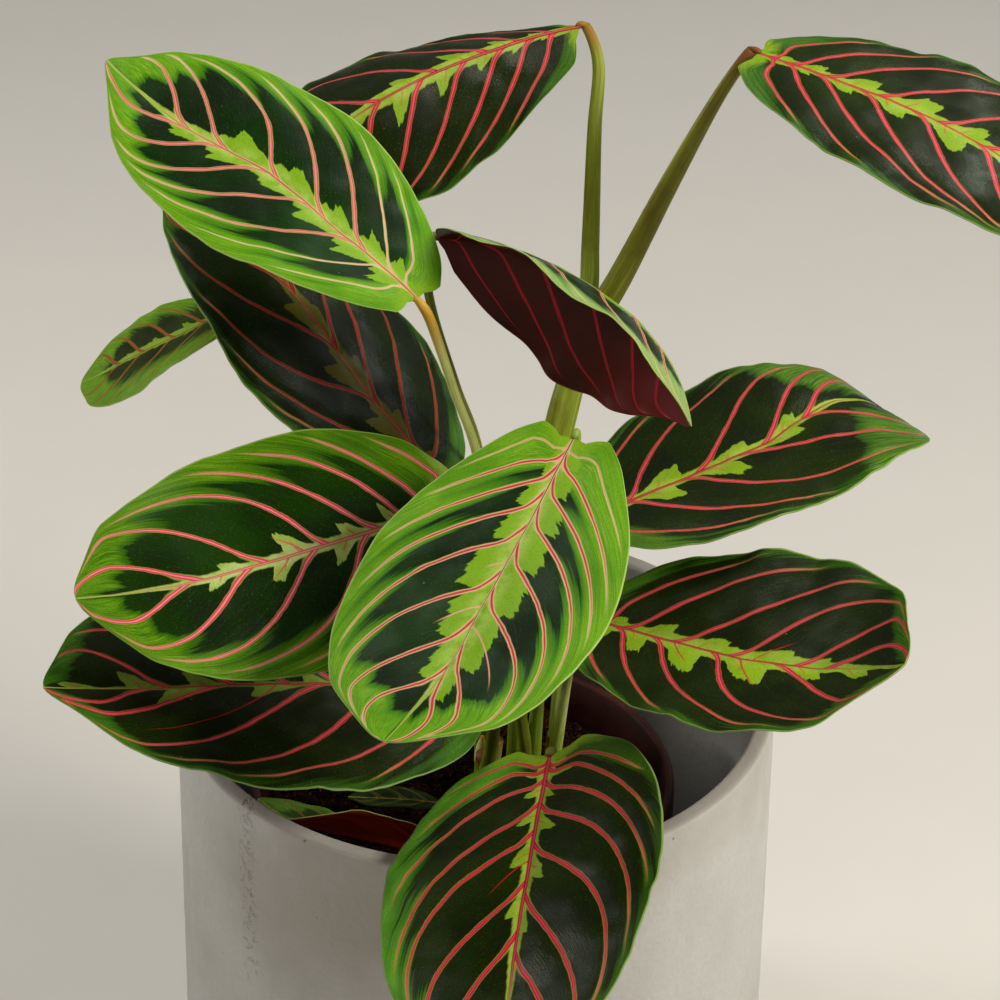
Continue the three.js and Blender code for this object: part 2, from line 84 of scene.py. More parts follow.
class NodeBoard:
    # Adds nodes to a tree, and sets or joins their inputs.
    def __init__(self, tree):
        self.tree = tree
        self.count = 0

    def add(self, kind, inputs=(), **settings):
        node = self.tree.nodes.new(kind)
        self.count += 1
        node.location = (-220 * (self.count % 12) - 300, -180 * (self.count // 12))
        for key, value in settings.items():
            setattr(node, key, value)
        for key, value in dict(inputs).items():
            self.put(node.inputs[key], value)
        return node

    def put(self, socket, value):
        if isinstance(value, Wire):
            value = value.socket
        if isinstance(value, bpy.types.Node):
            value = value.outputs[0]
        if isinstance(value, bpy.types.NodeSocket):
            self.tree.links.new(value, socket)
        else:
            socket.default_value = value


class Paint(NodeBoard):
    # A material. Its steps take wires, plain numbers and colours as "#rrggbb", and give wires.
    def __init__(self, name):
        self.material = bpy.data.materials.new(name)
        self.material.use_nodes = True
        super().__init__(self.material.node_tree)
        self.shader = self.tree.nodes["Principled BSDF"]

    def wire(self, kind, inputs=(), output=0, **settings):
        return Wire(self, self.add(kind, inputs, **settings).outputs[output])

    def sum(self, operation, *values):
        return self.wire("ShaderNodeMath", enumerate(values), operation=operation)

    def ramp(self, value, low, high, start=0.0, end=1.0, kind="SMOOTHSTEP"):
        inputs = enumerate((value, low, high, start, end))
        return self.wire("ShaderNodeMapRange", inputs, interpolation_type=kind)

    def mix(self, share, first, second):
        first, second = (tint(c) if isinstance(c, str) else c for c in (first, second))
        return self.wire("ShaderNodeMix", {0: share, 6: first, 7: second}, 2, data_type="RGBA")

    def vector(self, *parts):
        return self.wire("ShaderNodeCombineXYZ", enumerate(parts))

    def split(self, vector):
        return [Wire(self, socket) for socket in self.add("ShaderNodeSeparateXYZ", {0: vector}).outputs]

    def stretch(self, place, *factors):
        return self.vector(*(part * factor for part, factor in zip(self.split(place), factors)))

    def noise(self, place, scale, detail=2.0, rough=0.5):
        inputs = {"Vector": place, "Scale": scale, "Detail": detail, "Roughness": rough}
        return self.wire("ShaderNodeTexNoise", inputs, "Fac")

    def cells(self, place, scale):
        return self.wire("ShaderNodeTexVoronoi", {"Vector": place, "Scale": scale}, "Distance")

    def place(self):
        return self.wire("ShaderNodeTexCoord", output="Object")

    def uvMap(self, name):
        return self.wire("ShaderNodeUVMap", uv_map=name)

    def attribute(self, name):
        return self.wire("ShaderNodeAttribute", output="Vector", attribute_name=name)

    def bump(self, height, strength, distance):
        return self.wire("ShaderNodeBump", {"Strength": strength, "Distance": distance, "Height": height})

    def finish(self, colour, roughness, relief=None, shine=None):
        given = {"Base Color": colour, "Roughness": roughness, "Normal": relief, "Specular IOR Level": shine}
        for key, value in given.items():
            if value is not None:
                self.put(self.shader.inputs[key], value)
        return self.material


class Shaper(NodeBoard):
    # A geometry tree that starts from a mesh and has named sizes and a material as its inputs.
    def __init__(self, name, start, sizes, result):
        super().__init__(bpy.data.node_groups.new(name, "GeometryNodeTree"))
        face = self.tree.interface
        self.sockets = {}
        for key, kind in {start: "Geometry", **sizes, "Skin": "Material"}.items():
            socket = face.new_socket(key, in_out="INPUT", socket_type="NodeSocket" + kind)
            self.sockets[key] = socket.identifier
        face.new_socket(result, in_out="OUTPUT", socket_type="NodeSocketGeometry")
        self.given = self.add("NodeGroupInput").outputs

    def end(self, shape):
        real = self.add("GeometryNodeRealizeInstances", {0: shape})
        skinned = self.add("GeometryNodeSetMaterial", {"Geometry": real, "Material": self.given["Skin"]})
        self.add("NodeGroupOutput", {0: skinned})
        return self

    def fit(self, piece, sizes):
        shaping = piece.modifiers.new("shaping", "NODES")
        shaping.node_group = self.tree
        for key, value in sizes.items():
            shaping[self.sockets[key]] = value


def newPiece(name, vertices, faces, materials):
    mesh = bpy.data.meshes.new(name)
    mesh.from_pydata([tuple(v) for v in vertices], [], faces)
    mesh.update()
    mesh.polygons.foreach_set("use_smooth", [True] * len(mesh.polygons))
    for material in materials:
        mesh.materials.append(material)
    piece = bpy.data.objects.new(name, mesh)
    bpy.context.scene.collection.objects.link(piece)
    return piece


def plainMesh(piece):
    # a mesh of the piece as its modifiers leave it
    bpy.context.view_layer.update()
    return bpy.data.meshes.new_from_object(piece.evaluated_get(bpy.context.evaluated_depsgraph_get()))


def settle(piece):
    # the modifiers' result becomes the piece's own mesh
    mesh = plainMesh(piece)
    piece.modifiers.clear()
    piece.data = mesh


def dress(piece, slot, *nodes):
    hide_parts(*nodes)
    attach(piece, "root")


def ringPoint(turn, radius):
    # a point on a circle, where turn goes from 0 to 1 once round
    angle = 2 * math.pi * turn
    return math.cos(angle) * radius, math.sin(angle) * radius


def lathePiece(name, profile, sides, materials, wobble=None):
    # profile runs up the outside and down the inside, from the axis to the axis
    vertices, faces, rings = [], [], []
    for radius, z in profile:
        if radius < 1e-6:
            rings.append([len(vertices)])
            vertices.append(Vector((0, 0, z)) * mm)
            continue
        rings.append(list(range(len(vertices), len(vertices) + sides)))
        for i in range(sides):
            point = Vector((*ringPoint(i / sides, radius), z))
            if wobble:
                point = wobble(point)
            vertices.append(point * mm)
    for low, high in zip(rings, rings[1:]):
        for i in range(sides):
            j = (i + 1) % sides
            if len(low) == 1:
                faces.append((low[0], high[j], high[i]))
            elif len(high) == 1:
                faces.append((low[i], low[j], high[0]))
            else:
                faces.append((low[i], low[j], high[j], high[i]))
    return newPiece(name, vertices, faces, materials)


# The camera looks down from the front, turned a little about its own axis.
view = {"place": (5.0, -835.7, 706.9), "down": 32.35, "tilt": 0.75, "lens": 156.3, "sensor": 36,
        "clip": (50, 30000)}


def setCamera():
    down, tilt = math.radians(view["down"]), math.radians(view["tilt"])
    forward = Vector((0, math.cos(down), -math.sin(down)))
    level = Vector((1, 0, 0))
    above = level.cross(forward)
    right = level * math.cos(tilt) + above * math.sin(tilt)
    up = above * math.cos(tilt) - level * math.sin(tilt)
    camera = bpy.data.objects.new("camera", bpy.data.cameras.new("camera"))
    camera.data.lens = view["lens"]
    camera.data.sensor_width = view["sensor"]
    camera.data.clip_start, camera.data.clip_end = (far * mm for far in view["clip"])
    place = Matrix((right, up, -forward)).transposed().to_4x4()
    place.translation = Vector(view["place"]) * mm
    camera.matrix_world = place
    bpy.context.scene.collection.objects.link(camera)
    bpy.context.scene.camera = camera


studio = {
    "lamps": [  # name, place in mm, aimed at in mm, size in mm, watts, colour
        ("keyLamp", (640, -240, 640), (0, 0, 120), 320, 6.2, "#fff6ea"),
        ("topLamp", (-260, 250, 940), (0, 0, 150), 320, 1.5, "#fffdf6"),
        ("rimLamp", (420, 560, 760), (0, 0, 150), 200, 1.2, "#fffdf6"),
        ("leftLamp", (-680, 180, 520), (0, 0, 170), 260, 2.0, "#fffaf2"),
        ("frontLamp", (-160, -900, 760), (0, 0, 150), 500, 0.6, "#ffe6cc"),
    ],
    "air": "#ebe9e2", "airStrength": 0.19,
    "floor": "#dedcd7", "floorCloud": "#dddbd6", "floorRough": 0.75, "floorReach": 3000,
}


def setStudio():
    for name, place, aim, size, watts, colour in studio["lamps"]:
        light = bpy.data.lights.new(name, "AREA")
        light.shape = "DISK"
        light.size = size * mm
        light.energy = watts
        light.color = tint(colour)[:3]
        lamp = bpy.data.objects.new(name, light)
        lamp.location = Vector(place) * mm
        lamp.rotation_euler = (Vector(aim) - Vector(place)).to_track_quat("-Z", "Y").to_euler()
        bpy.context.scene.collection.objects.link(lamp)
    world = bpy.data.worlds.new("air")
    world.use_nodes = True
    air = world.node_tree.nodes["Background"]
    air.inputs["Color"].default_value = tint(studio["air"])
    air.inputs["Strength"].default_value = studio["airStrength"]
    bpy.context.scene.world = world
    bpy.context.scene.view_settings.view_transform = "Standard"
    w = Paint("floorPaint")
    cloud = w.ramp(w.noise(w.place(), 40, 3), 0.35, 0.65)
    paint = w.finish(w.mix(cloud, studio["floor"], studio["floorCloud"]), studio["floorRough"])
    reach = studio["floorReach"] * mm
    corners = [(-reach, -reach, 0), (reach, -reach, 0), (reach, reach, 0), (-reach, reach, 0)]
    newPiece("floor", corners, [(0, 1, 2, 3)], [paint])


setCamera()
setStudio()
print("camera and studio set")


# The cover pot, cast in pale grey. seam is where its old mould seam runs, from side to side.
coverPot = {"radius": 70, "height": 125, "wall": 4.2, "floor": 9, "edge": 1.2, "foot": 1.5, "sides": 320,
            # the pit colour on the next line is a painted shade for the pits and the seam's chips
            "seam": -49.6, "body": "#c4c5c2", "shade": "#aeaca5", "pale": "#d1d1cc", "pit": "#77746d",
            # the rim colour on the next line is a painted shade for the top face of the rim
            "rim": "#8e8a80", "grainScale": 900, "pitScale": 330, "rough": (0.68, 0.88), "shine": 0.3,
            "relief": 0.4}


def castMaterial():
    p, w = coverPot, Paint("castStone")
    place = w.place()
    cloud = w.noise(place, 18, 4, 0.55)
    grain = w.noise(place, p["grainScale"], 3, 0.7)
    streak = w.noise(w.stretch(place, 60, 60, 7), 1, 4, 0.6)
    tone = w.mix(w.ramp(cloud, 0.35, 0.68), p["body"], p["shade"])
    tone = w.mix(w.ramp(streak, 0.55, 0.8, 0, 0.45), tone, p["pale"])
    tone = w.mix(w.ramp(grain, 0.3, 0.7, 0, 0.25), tone, p["shade"])
    # pits, wider in some places and none in others, painted darker as a painted shade in their hollows
    pitSize = w.ramp(w.noise(place, 70, 1), 0.54, 0.76, 0.0, 0.16)
    pit = w.ramp(w.cells(place, p["pitScale"]) - pitSize, -0.06, 0.02, 1, 0)
    tone = w.mix(pit * 0.75, tone, p["pit"])
    # the top of the rim is painted greyer and darker, a painted shade, and the seam runs down from it in
    # chips
    x, y, z = w.split(place)
    top = w.ramp(z, (p["height"] - 0.9) * mm, (p["height"] - 0.35) * mm)
    tone = w.mix(top * 0.55, tone, p["rim"])
    along = (x - p["seam"] * mm) + w.noise(place, 130, 2) * 0.003
    near = w.ramp(abs(along), 0.0006, 0.0024, 1, 0) * w.ramp(y, -0.02, -0.03) * w.ramp(z, 0.072, 0.082)
    seam = near * w.ramp(w.noise(place, 620, 3, 0.7), 0.52, 0.66)
    # the chips are painted darker too, a painted shade in their hollows
    tone = w.mix(seam * 0.1, tone, p["pit"])
    skin = grain * 0.3 + w.noise(place, 420) * 0.7
    relief = w.bump(skin - (pit + seam * 1.5), 0.7, p["relief"] * mm)
    return w.finish(tone, w.ramp(grain, 0.2, 0.8, *p["rough"]), relief, p["shine"])


def unevenCast(point):
    # hand-cast unevenness, a tenth of a millimetre or so, always inwards
    high = noise.noise(point * 0.05) * 0.5 + 0.5
    fine = noise.noise(point * 0.4 + Vector((7, 1, 3))) * 0.5 + 0.5
    flat = Vector((point.x, point.y, 0)).normalized()
    if point.z > coverPot["height"] - coverPot["edge"] * 1.01:
        point = point - Vector((0, 0, 0.16 * high + 0.1 * fine))
    if 0.5 < point.z and flat.length > 0:
        point = point - flat * (0.12 * high + 0.06 * fine)
    return point


def buildCoverPot():
    p = coverPot
    outer, top, floor, edge, foot = p["radius"], p["height"], p["floor"], p["edge"], p["foot"]
    inner = outer - p["wall"]
    turns = [math.radians(turn) for turn in np.linspace(0, 90, 6)]
    profile = [(0, 0), (outer * 0.5, 0), (outer - foot, 0), (outer - foot * 0.3, foot * 0.3), (outer, foot)]
    profile += [(outer, z) for z in np.linspace(foot + 2, top - edge - 1, 40)]
    profile += [(outer - edge * (1 - math.cos(a)), top - edge * (1 - math.sin(a))) for a in turns]
    profile += [(inner + edge * (1 - math.cos(a)), top - edge * (1 - math.sin(a))) for a in reversed(turns)]
    profile += [(inner, z) for z in np.linspace(top - edge - 1, floor + 3, 24)]
    profile += [(inner - 0.8, floor + 0.8), (inner - 3, floor), (inner * 0.5, floor), (0, floor)]
    pot = lathePiece("coverPot", profile, p["sides"], [castMaterial()], unevenCast)
    dress(pot, "cast_pot", "cover_pot")


# The thin nursery pot inside it, with a rolled rim and a ring of drain holes.
nurseryPot = {"centre": (-3, -4), "rimRadius": 50, "rimZ": 103, "lipDepth": 7, "lipWidth": 2.2,
              "topRadius": 48, "bottomRadius": 36, "wall": 1.3, "low": 9.3, "sides": 256,
              "drains": 6, "drainCircle": 22, "drainRadius": 3, "drainSides": 24,
              "body": "#2e0e09", "worn": "#4e2015", "scuffed": "#6a3a2c", "rough": (0.38, 0.6),
              "shine": 0.25, "relief": 0.2}


def mouldedMaterial():
    p, w = nurseryPot, Paint("redBrownPlastic")
    place = w.place()
    dust = w.noise(place, 60, 4, 0.6)
    scuff = w.noise(w.stretch(place, 300, 300, 1800), 1, 2)
    tone = w.mix(w.ramp(dust, 0.45, 0.75, 0, 0.7), p["body"], p["worn"])
    tone = w.mix(w.ramp(scuff, 0.6, 0.75, 0, 0.35), tone, p["scuffed"])
    relief = w.bump(scuff * 0.4 + dust, 0.3, p["relief"] * mm)
    return w.finish(tone, w.ramp(dust, 0.3, 0.7, *p["rough"]), relief, p["shine"])


def cutDrain(pot, turn):
    # one round hole through the floor, with a cutter that starts below it and ends above it
    p = nurseryPot
    sides = p["drainSides"]
    cx, cy = ringPoint(turn, p["drainCircle"])
    ring = [ringPoint(k / sides, p["drainRadius"]) for k in range(sides)]
    points = [((x + cx) * mm, (y + cy) * mm, (p["low"] + z) * mm) for z in (-2, 4) for x, y in ring]
    faces = [tuple(reversed(range(sides))), tuple(range(sides, 2 * sides))]
    faces += [(k, (k + 1) % sides, sides + (k + 1) % sides, sides + k) for k in range(sides)]
    cutter = newPiece("drainCutter", points, faces, [])
    cut = pot.modifiers.new("drain", "BOOLEAN")
    cut.operation, cut.solver, cut.object = "DIFFERENCE", "EXACT", cutter
    settle(pot)
    bpy.data.objects.remove(cutter)


def buildNurseryPot():
    p = nurseryPot
    low, wall, rim, rimZ, bottom = p["low"], p["wall"], p["rimRadius"], p["rimZ"], p["bottomRadius"]
    lipLow, lipIn, flare = rimZ - p["lipDepth"], rim - p["lipWidth"], p["topRadius"] - bottom
    profile = [(0, low), (bottom - 1, low), (bottom - 0.2, low + 0.3)]
    profile += [(bottom + flare * t, low + (lipLow - low) * t) for t in np.linspace(0.01, 1, 26)]
    # the rolled rim, from its lower edge over the top and back in
    profile += [(rim - 0.5, lipLow), (rim - 0.1, lipLow + 0.3), (rim, lipLow + 1), (rim, rimZ - 1),
                (rim - 0.12, rimZ - 0.35), (rim - 0.45, rimZ), (lipIn + 0.5, rimZ), (lipIn, rimZ - 0.4),
                (p["topRadius"] - wall, lipLow)]
    profile += [(bottom - wall + flare * t, low + wall + (lipLow - low - wall) * t)
                for t in np.linspace(0.97, 0.02, 26)]
    profile += [(bottom - wall - 0.6, low + wall), (0, low + wall)]
    pot = lathePiece("nurseryPot", profile, p["sides"], [mouldedMaterial()])
    for i in range(p["drains"]):
        cutDrain(pot, i / p["drains"])
    pot.data.transform(Matrix.Translation((p["centre"][0] * mm, p["centre"][1] * mm, 0)))
    dress(pot, "plastic_pot", "nursery_pot")


buildCoverPot()
buildNurseryPot()
print("pots built")


# Every blade: how it lies, as in the solids, and how it is marked.
# A vein is read from the blade's base on, as where it leaves the midrib, where it is halfway to the
# margin and where it is nine tenths of the way, in shares of the blade's length. left and right are
# as seen from the base. midrib is how far the midrib strays to the right at 0, 1/4, 1/2, 3/4 and all
# of the length, in shares of the half width. featherLeft and featherRight are how far the pale
# feather reaches beside the midrib between each two veins, in shares of the half width. A thin vein
# is its side (1 is right), its start, its end and how far out it runs. change overrides the look.
leaves = {
    "leaf_top_left": {
        "base": (-14, -2, 231), "heading": 153, "pitch": 22, "roll": -6, "length": 89, "width": 56,
        "bend": 13, "sway": -21, "droop": -33, "fold": 4, "skew": 3, "cup": 4, "twist": -18,
        "belly": (0.6, 0.7), "wave": 0.5, "waves": 3, "phase": 0.4, "lobes": 4, "look": "bright",
        "left": [(.04, .10, .27), (.12, .22, .50), (.24, .38, .69), (.38, .55, .78), (.53, .675, .84),
                 (.66, .79, .93), (.76, .93, .99)],
        "right": [(.04, .11, .28), (.09, .225, .40), (.20, .345, .54), (.34, .475, .66), (.50, .60, .82),
                  (.65, .77, .88), (.76, .86, .93)],
        "featherLeft": (.3, .35, .28, .22, .17, .2, .2, .05),
        "featherRight": (.3, .3, .24, .2, .22, .23, .08, .04),
        "midrib": (0, -.05, .03, -.05, 0),
        "change": {"darkEdge": 0.68, "ribBase": 0.5, "ribTip": 0.3, "ribCore": "#a8562e", "rib": "#dba07e",
                   "join": 0.03, "band": 0.09, "plateau": 0.6, "veinWidth": 0.42, "darkRight": 0.06,
                   "paleUntil": 2.4, "flare": 0.5, "veinSide": "#c4464a", "veinCore": "#e68a86",
                   "veinPale": "#dcc39a"},
    },
    "leaf_top_middle": {
        "base": (22, 78, 259), "heading": -148, "pitch": -10, "roll": -24, "length": 78, "width": 55,
        "bend": 13, "sway": -25, "droop": 34, "fold": -39, "skew": 3, "cup": 8, "twist": -14,
        "belly": (0.7, 0.4), "wave": 0.8, "waves": 4, "phase": 1.1, "lobes": 4, "look": "deep",
        "left": [(.09, .14, .28), (.17, .26, .48), (.27, .39, .62), (.40, .53, .78), (.55, .68, .86),
                 (.71, .84, .94)],
        "right": [(.10, .15, .25), (.21, .27, .38), (.33, .41, .55), (.50, .59, .80), (.71, .80, .92)],
        "featherLeft": (.05, .1, .12, .15, .2, .25, .1), "featherRight": (.05, .15, .2, .27, .14, .05),
        "midrib": (0, -.04, -.03, -.03, 0),
        "change": {"band": 0.07},
    },
    "leaf_top_right": {
        "base": (62, 49, 267), "heading": -33, "pitch": -10, "roll": 3, "length": 89.8, "width": 55,
        "bend": 14, "sway": 8, "droop": 18, "fold": 2, "skew": 1, "cup": 7, "twist": 3,
        "belly": (0.5, 0.45), "wave": 0.6, "waves": 4, "phase": 2.0, "lobes": 4, "look": "deep",
        "left": [(.045, .08, .20), (.11, .185, .35), (.21, .31, .50), (.36, .47, .61), (.53, .63, .78),
                 (.67, .78, .90), (.80, .90, .96)],
        "right": [(.045, .085, .22), (.09, .20, .42), (.18, .34, .70), (.31, .48, .78), (.46, .63, .85),
                  (.65, .78, .91), (.80, .89, .96)],
        "featherLeft": (.05, .1, .14, .18, .2, .18, .1, 0),
        "featherRight": (.05, .08, .12, .15, .2, .25, .1, 0),
        "midrib": (0, -.02, -.05, -.02, 0),
        "change": {"band": 0.07, "rib": "#a8242a", "plateau": 0.2, "wide": 0.14, "light": "#5c8c34"},
    },
    "leaf_folded": {
        "base": (-10, 30, 229), "heading": -36, "pitch": -14, "roll": -68, "length": 83, "width": 53,
        "bend": 38, "sway": -46, "droop": 27, "fold": -34, "skew": -3, "cup": -4, "twist": 1,
        "belly": (0.75, 0.65), "wave": 1.1, "waves": 3, "phase": 0.2, "lobes": 2, "look": "bright",
        "left": [(.06, .12, .28), (.18, .30, .50), (.32, .45, .68), (.48, .62, .82), (.63, .76, .90),
                 (.76, .87, .95)],
        "right": [(.06, .12, .28), (.20, .32, .48), (.34, .47, .62), (.51, .64, .78), (.64, .77, .90),
                  (.75, .86, .95)],
        "featherLeft": (.2, .2, .2, .2, .2, .15, .1), "featherRight": (.2, .2, .2, .2, .2, .15, .1),
        "change": {"darkEdge": 0.62, "light": "#a9c878", "mid": "#7fa352", "under": "#4e1a12",
                   "underDeep": "#34100c", "underVein": "#d0203c"},
    },
    "leaf_shaded": {
        "base": (-9, 6, 178), "heading": 137, "pitch": 30, "roll": 15, "length": 101, "width": 60,
        "bend": 15, "sway": -3, "droop": 30, "fold": -2, "skew": 3, "cup": 12, "twist": 2,
        "belly": (0.5, 0.7), "wave": 0.6, "waves": 3, "phase": 1.7, "lobes": 2, "look": "deep",
        "left": [(.04, .08, .30), (.11, .195, .47), (.25, .37, .65), (.41, .585, .83), (.60, .79, .93),
                 (.76, .91, .98)],
        "right": [(.03, .125, .32), (.10, .31, .52), (.24, .52, .72), (.41, .64, .84), (.58, .78, .92),
                  (.74, .89, .97)],
        "featherLeft": (.1, .2, .28, .25, .2, .1, 0), "featherRight": (.1, .15, .15, .12, .1, .05, 0),
        "midrib": (0, -.1, -.04, -.02, 0),
        # its blotch, feather and vein colours are painted darker and browner than the deep look's, a painted
        # shade
        "change": {"dark": "#162603", "darker": "#0c1602", "fleck": "#203606", "feather": "#625e06",
                   "featherPale": "#74741a", "band": 0.06, "veinCore": "#b02c36", "veinSide": "#8c1420",
                   "stub": 0.3, "plateau": 0.4},
    },
    "leaf_left": {
        "base": (-5, -14, 185), "heading": -155, "pitch": -2, "roll": -29, "length": 91, "width": 59,
        "bend": 0, "sway": 7, "droop": -14, "fold": 0, "skew": 0, "cup": 2, "twist": 18,
        "belly": (0.4, 0.5), "wave": 0.6, "waves": 3, "phase": 2.6, "lobes": 3, "look": "halfway",
        "left": [(.05, .10, .25), (.14, .25, .50), (.25, .375, .66), (.39, .55, .82), (.565, .73, .92),
                 (.73, .90, .98)],
        "right": [(.015, .035, .13), (.06, .135, .27), (.13, .225, .43), (.22, .355, .59), (.36, .48, .82),
                  (.52, .70, .94), (.69, .92, .99)],
        "thin": [(1, .41, .47, .17), (-1, .45, .51, .16)],
        "featherLeft": (.1, .15, .17, .18, .2, .13, 0), "featherRight": (.1, .12, .15, .2, .15, .2, .09, 0),
        "midrib": (0, 0, -.01, -.03, 0),
    },
    "leaf_low_left": {
        "base": (1, -23, 141), "heading": -159, "pitch": 12, "roll": -15, "length": 105, "width": 66,
        "bend": 2, "sway": -10, "droop": -11, "fold": 5, "skew": -1, "cup": 6, "twist": 10,
        "belly": (0.5, 0.6), "wave": 0.7, "waves": 4, "phase": 0.9, "lobes": 2.5, "look": "deep",
        "left": [(.05, .10, .30), (.13, .21, .60), (.24, .40, .75), (.38, .62, .90), (.62, .89, .96),
                 (.78, .96, 1.0)],
        "right": [(.06, .12, .24), (.13, .22, .42), (.23, .35, .57), (.34, .47, .72), (.46, .60, .80),
                  (.58, .72, .87), (.73, .845, .93)],
        "thin": [(-1, .47, .80, .6)],
        "featherLeft": (.05, .06, .08, .08, .12, .2, 0),
        "featherRight": (.05, .06, .08, .05, .11, .04, .13, .2),
        "change": {"quilt": 1.0, "band": 0.015, "gloss": 0.27, "feather": "#78982a",
                   "featherPale": "#8fae40"},
    },
    "leaf_front": {
        "base": (21, -24, 209), "heading": -118, "pitch": -22, "roll": 1, "length": 89, "width": 59,
        "bend": 0, "sway": 4, "droop": -16, "fold": 4, "skew": 1, "cup": 2, "twist": 15,
        "belly": (0.6, 0.5), "wave": 0.5, "waves": 3, "phase": 0.0, "lobes": 6, "look": "bright",
        "left": [(.04, .075, .26), (.07, .18, .42), (.16, .285, .54), (.26, .395, .68), (.38, .53, .83),
                 (.52, .665, .92), (.70, .87, .97), (.80, .96, .995)],
        "right": [(.035, .06, .17), (.06, .14, .28), (.12, .235, .43), (.21, .345, .57), (.32, .47, .75),
                  (.47, .62, .88), (.62, .78, .94), (.77, .89, .97)],
        "thin": [(-1, .60, .76, .48), (1, .54, .62, .25), (1, .40, .43, .12)],
        "featherLeft": (.27, .27, .27, .28, .29, .28, .25, .2, 0),
        "featherRight": (.1, .12, .15, .2, .2, .24, .22, .16, 0),
        "midrib": (0, -.02, -.02, -.06, 0),
        "change": {"darkEdge": 0.62, "paleUntil": 1.6, "late": 0.32, "darkRight": 0.08,
                   "veinPale": "#d9b484", "paleFrom": 0.58},
    },
    "leaf_right": {
        "base": (26, 8, 168), "heading": 32, "pitch": 8, "roll": -1, "length": 93, "width": 55,
        "bend": 17, "sway": -27, "droop": 58, "fold": 0, "skew": -3, "cup": -2, "twist": 5,
        "belly": (0.35, 0.43), "wave": 0.7, "waves": 3, "phase": 1.3, "lobes": 2, "look": "deep",
        "left": [(.03, .06, .28), (.11, .235, .58), (.31, .50, .77), (.50, .70, .85), (.65, .82, .92)],
        "right": [(.02, .05, .32), (.11, .235, .47), (.27, .41, .74), (.43, .70, .90), (.65, .86, .96)],
        "featherLeft": (.1, .15, .2, .13, .14, 0), "featherRight": (.1, .15, .25, .25, .13, 0),
        "midrib": (0, .02, .04, -.16, -.2),
        "change": {"tipLight": 0.72, "band": 0.05, "light": "#6a9a2c", "plateau": 0.15, "wide": 0.1},
    },
    "leaf_low_right": {
        "base": (25, -12, 153), "heading": -34, "pitch": 10, "roll": 14, "length": 87, "width": 60,
        "bend": 1, "sway": 0, "droop": -30, "fold": 7, "skew": 2, "cup": -6, "twist": 6,
        "belly": (0.5, 0.45), "wave": 0.9, "waves": 4, "phase": 2.2, "lobes": 3, "look": "deep",
        "left": [(.06, .12, .34), (.14, .265, .55), (.30, .485, .72), (.48, .63, .90), (.67, .82, .96),
                 (.76, .95, 1.0)],
        "right": [(.04, .08, .22), (.12, .215, .41), (.24, .375, .70), (.43, .555, .92), (.62, .84, .97)],
        "thin": [(1, .29, .38, .26), (1, .50, .59, .33), (-1, .53, .61, .2)],
        "featherLeft": (.1, .15, .16, .14, .13, .1, 0), "featherRight": (.15, .25, .33, .36, .32, .18),
        "midrib": (0, .05, .08, .0, -.1),
        "change": {"band": 0.09, "feather": "#8fb81c", "rib": "#8e1c20", "plateau": 0.18, "wide": 0.16,
                   "light": "#5a8c1c", "haloAndHighlight": "#9a8c3a", "haloWidth": 0.26},
    },
    "leaf_hanging": {
        "base": (17, -46, 139), "heading": -97, "pitch": -11, "roll": 21, "length": 92, "width": 65,
        "bend": 19, "sway": 6, "droop": 9, "fold": 7, "skew": 1, "cup": 3, "twist": -6,
        "belly": (0.4, 0.5), "wave": 0.6, "waves": 3, "phase": 0.6, "lobes": 4.5, "look": "deep",
        "left": [(.045, .07, .16), (.065, .12, .34), (.12, .215, .49), (.21, .335, .66), (.345, .51, .86),
                 (.51, .74, .94), (.69, .88, .98)],
        "right": [(.04, .05, .10), (.065, .095, .22), (.11, .185, .45), (.20, .35, .68), (.30, .46, .82),
                  (.47, .68, .92), (.63, .85, .97)],
        "thin": [(1, .38, .48, .23)],
        "featherLeft": (.2, .2, .28, .12, .15, .14, .08, 0),
        "featherRight": (.2, .2, .15, .14, .14, .14, .1, 0),
        "change": {"quilt": 0.85, "ribBase": 0.62, "ribTip": 0.3, "join": 0.025, "rib": "#a81a2c",
                   "ribCore": "#d0505e", "veinCore": "#e23e5a", "veinSide": "#c00c2c", "light": "#6aac2a",
                   "mid": "#4a8816", "between": "#3a7412", "darkEdge": 0.94, "darkRight": -0.14,
                   "dimLeft": 0.7, "haloAndHighlight": "#a9b64a", "haloWidth": 0.3},
    },
    "leaf_young": {
        "base": (-54, 52, 199), "heading": 172, "pitch": -33, "roll": -6, "length": 50, "width": 33,
        "bend": 18, "sway": 19, "droop": -5, "fold": 6, "skew": 0, "cup": 12, "twist": -15,
        "belly": (0.6, 0.5), "wave": 0.6, "waves": 2, "phase": 1.0, "lobes": 1, "look": "tender",
        "left": [(.08, .16, .34), (.24, .35, .55), (.42, .54, .74), (.60, .71, .86), (.76, .86, .95)],
        "right": [(.08, .16, .34), (.26, .38, .58), (.44, .57, .76), (.62, .73, .88), (.77, .87, .95)],
        "featherLeft": (.1, .2, .2, .15, .1, .05), "featherRight": (.1, .2, .2, .15, .1, .05),
        "change": {"mid": "#568610", "light": "#84b228", "feather": "#7ea41c", "featherPale": "#98bc3c",
                   "darkEdge": 0.56, "dark": "#2a3a08", "between": "#3c5c0c"},
    },
    "leaf_tucked": {
        "base": (-7, -38, 104), "heading": 166, "pitch": 4, "roll": 45, "length": 46, "width": 24,
        "bend": 8, "sway": 0, "droop": -34, "fold": 15, "skew": 0, "cup": 0, "twist": -70,
        "belly": (0.6, 0.6), "wave": 0.5, "waves": 2, "phase": 0.3, "lobes": 0, "look": "tender",
        "left": [(.10, .20, .40), (.30, .42, .62), (.50, .62, .80), (.70, .80, .92)],
        "right": [(.10, .20, .40), (.30, .42, .62), (.50, .62, .80), (.70, .80, .92)],
        "featherLeft": (.1, .2, .2, .1, .05), "featherRight": (.1, .2, .2, .1, .05),
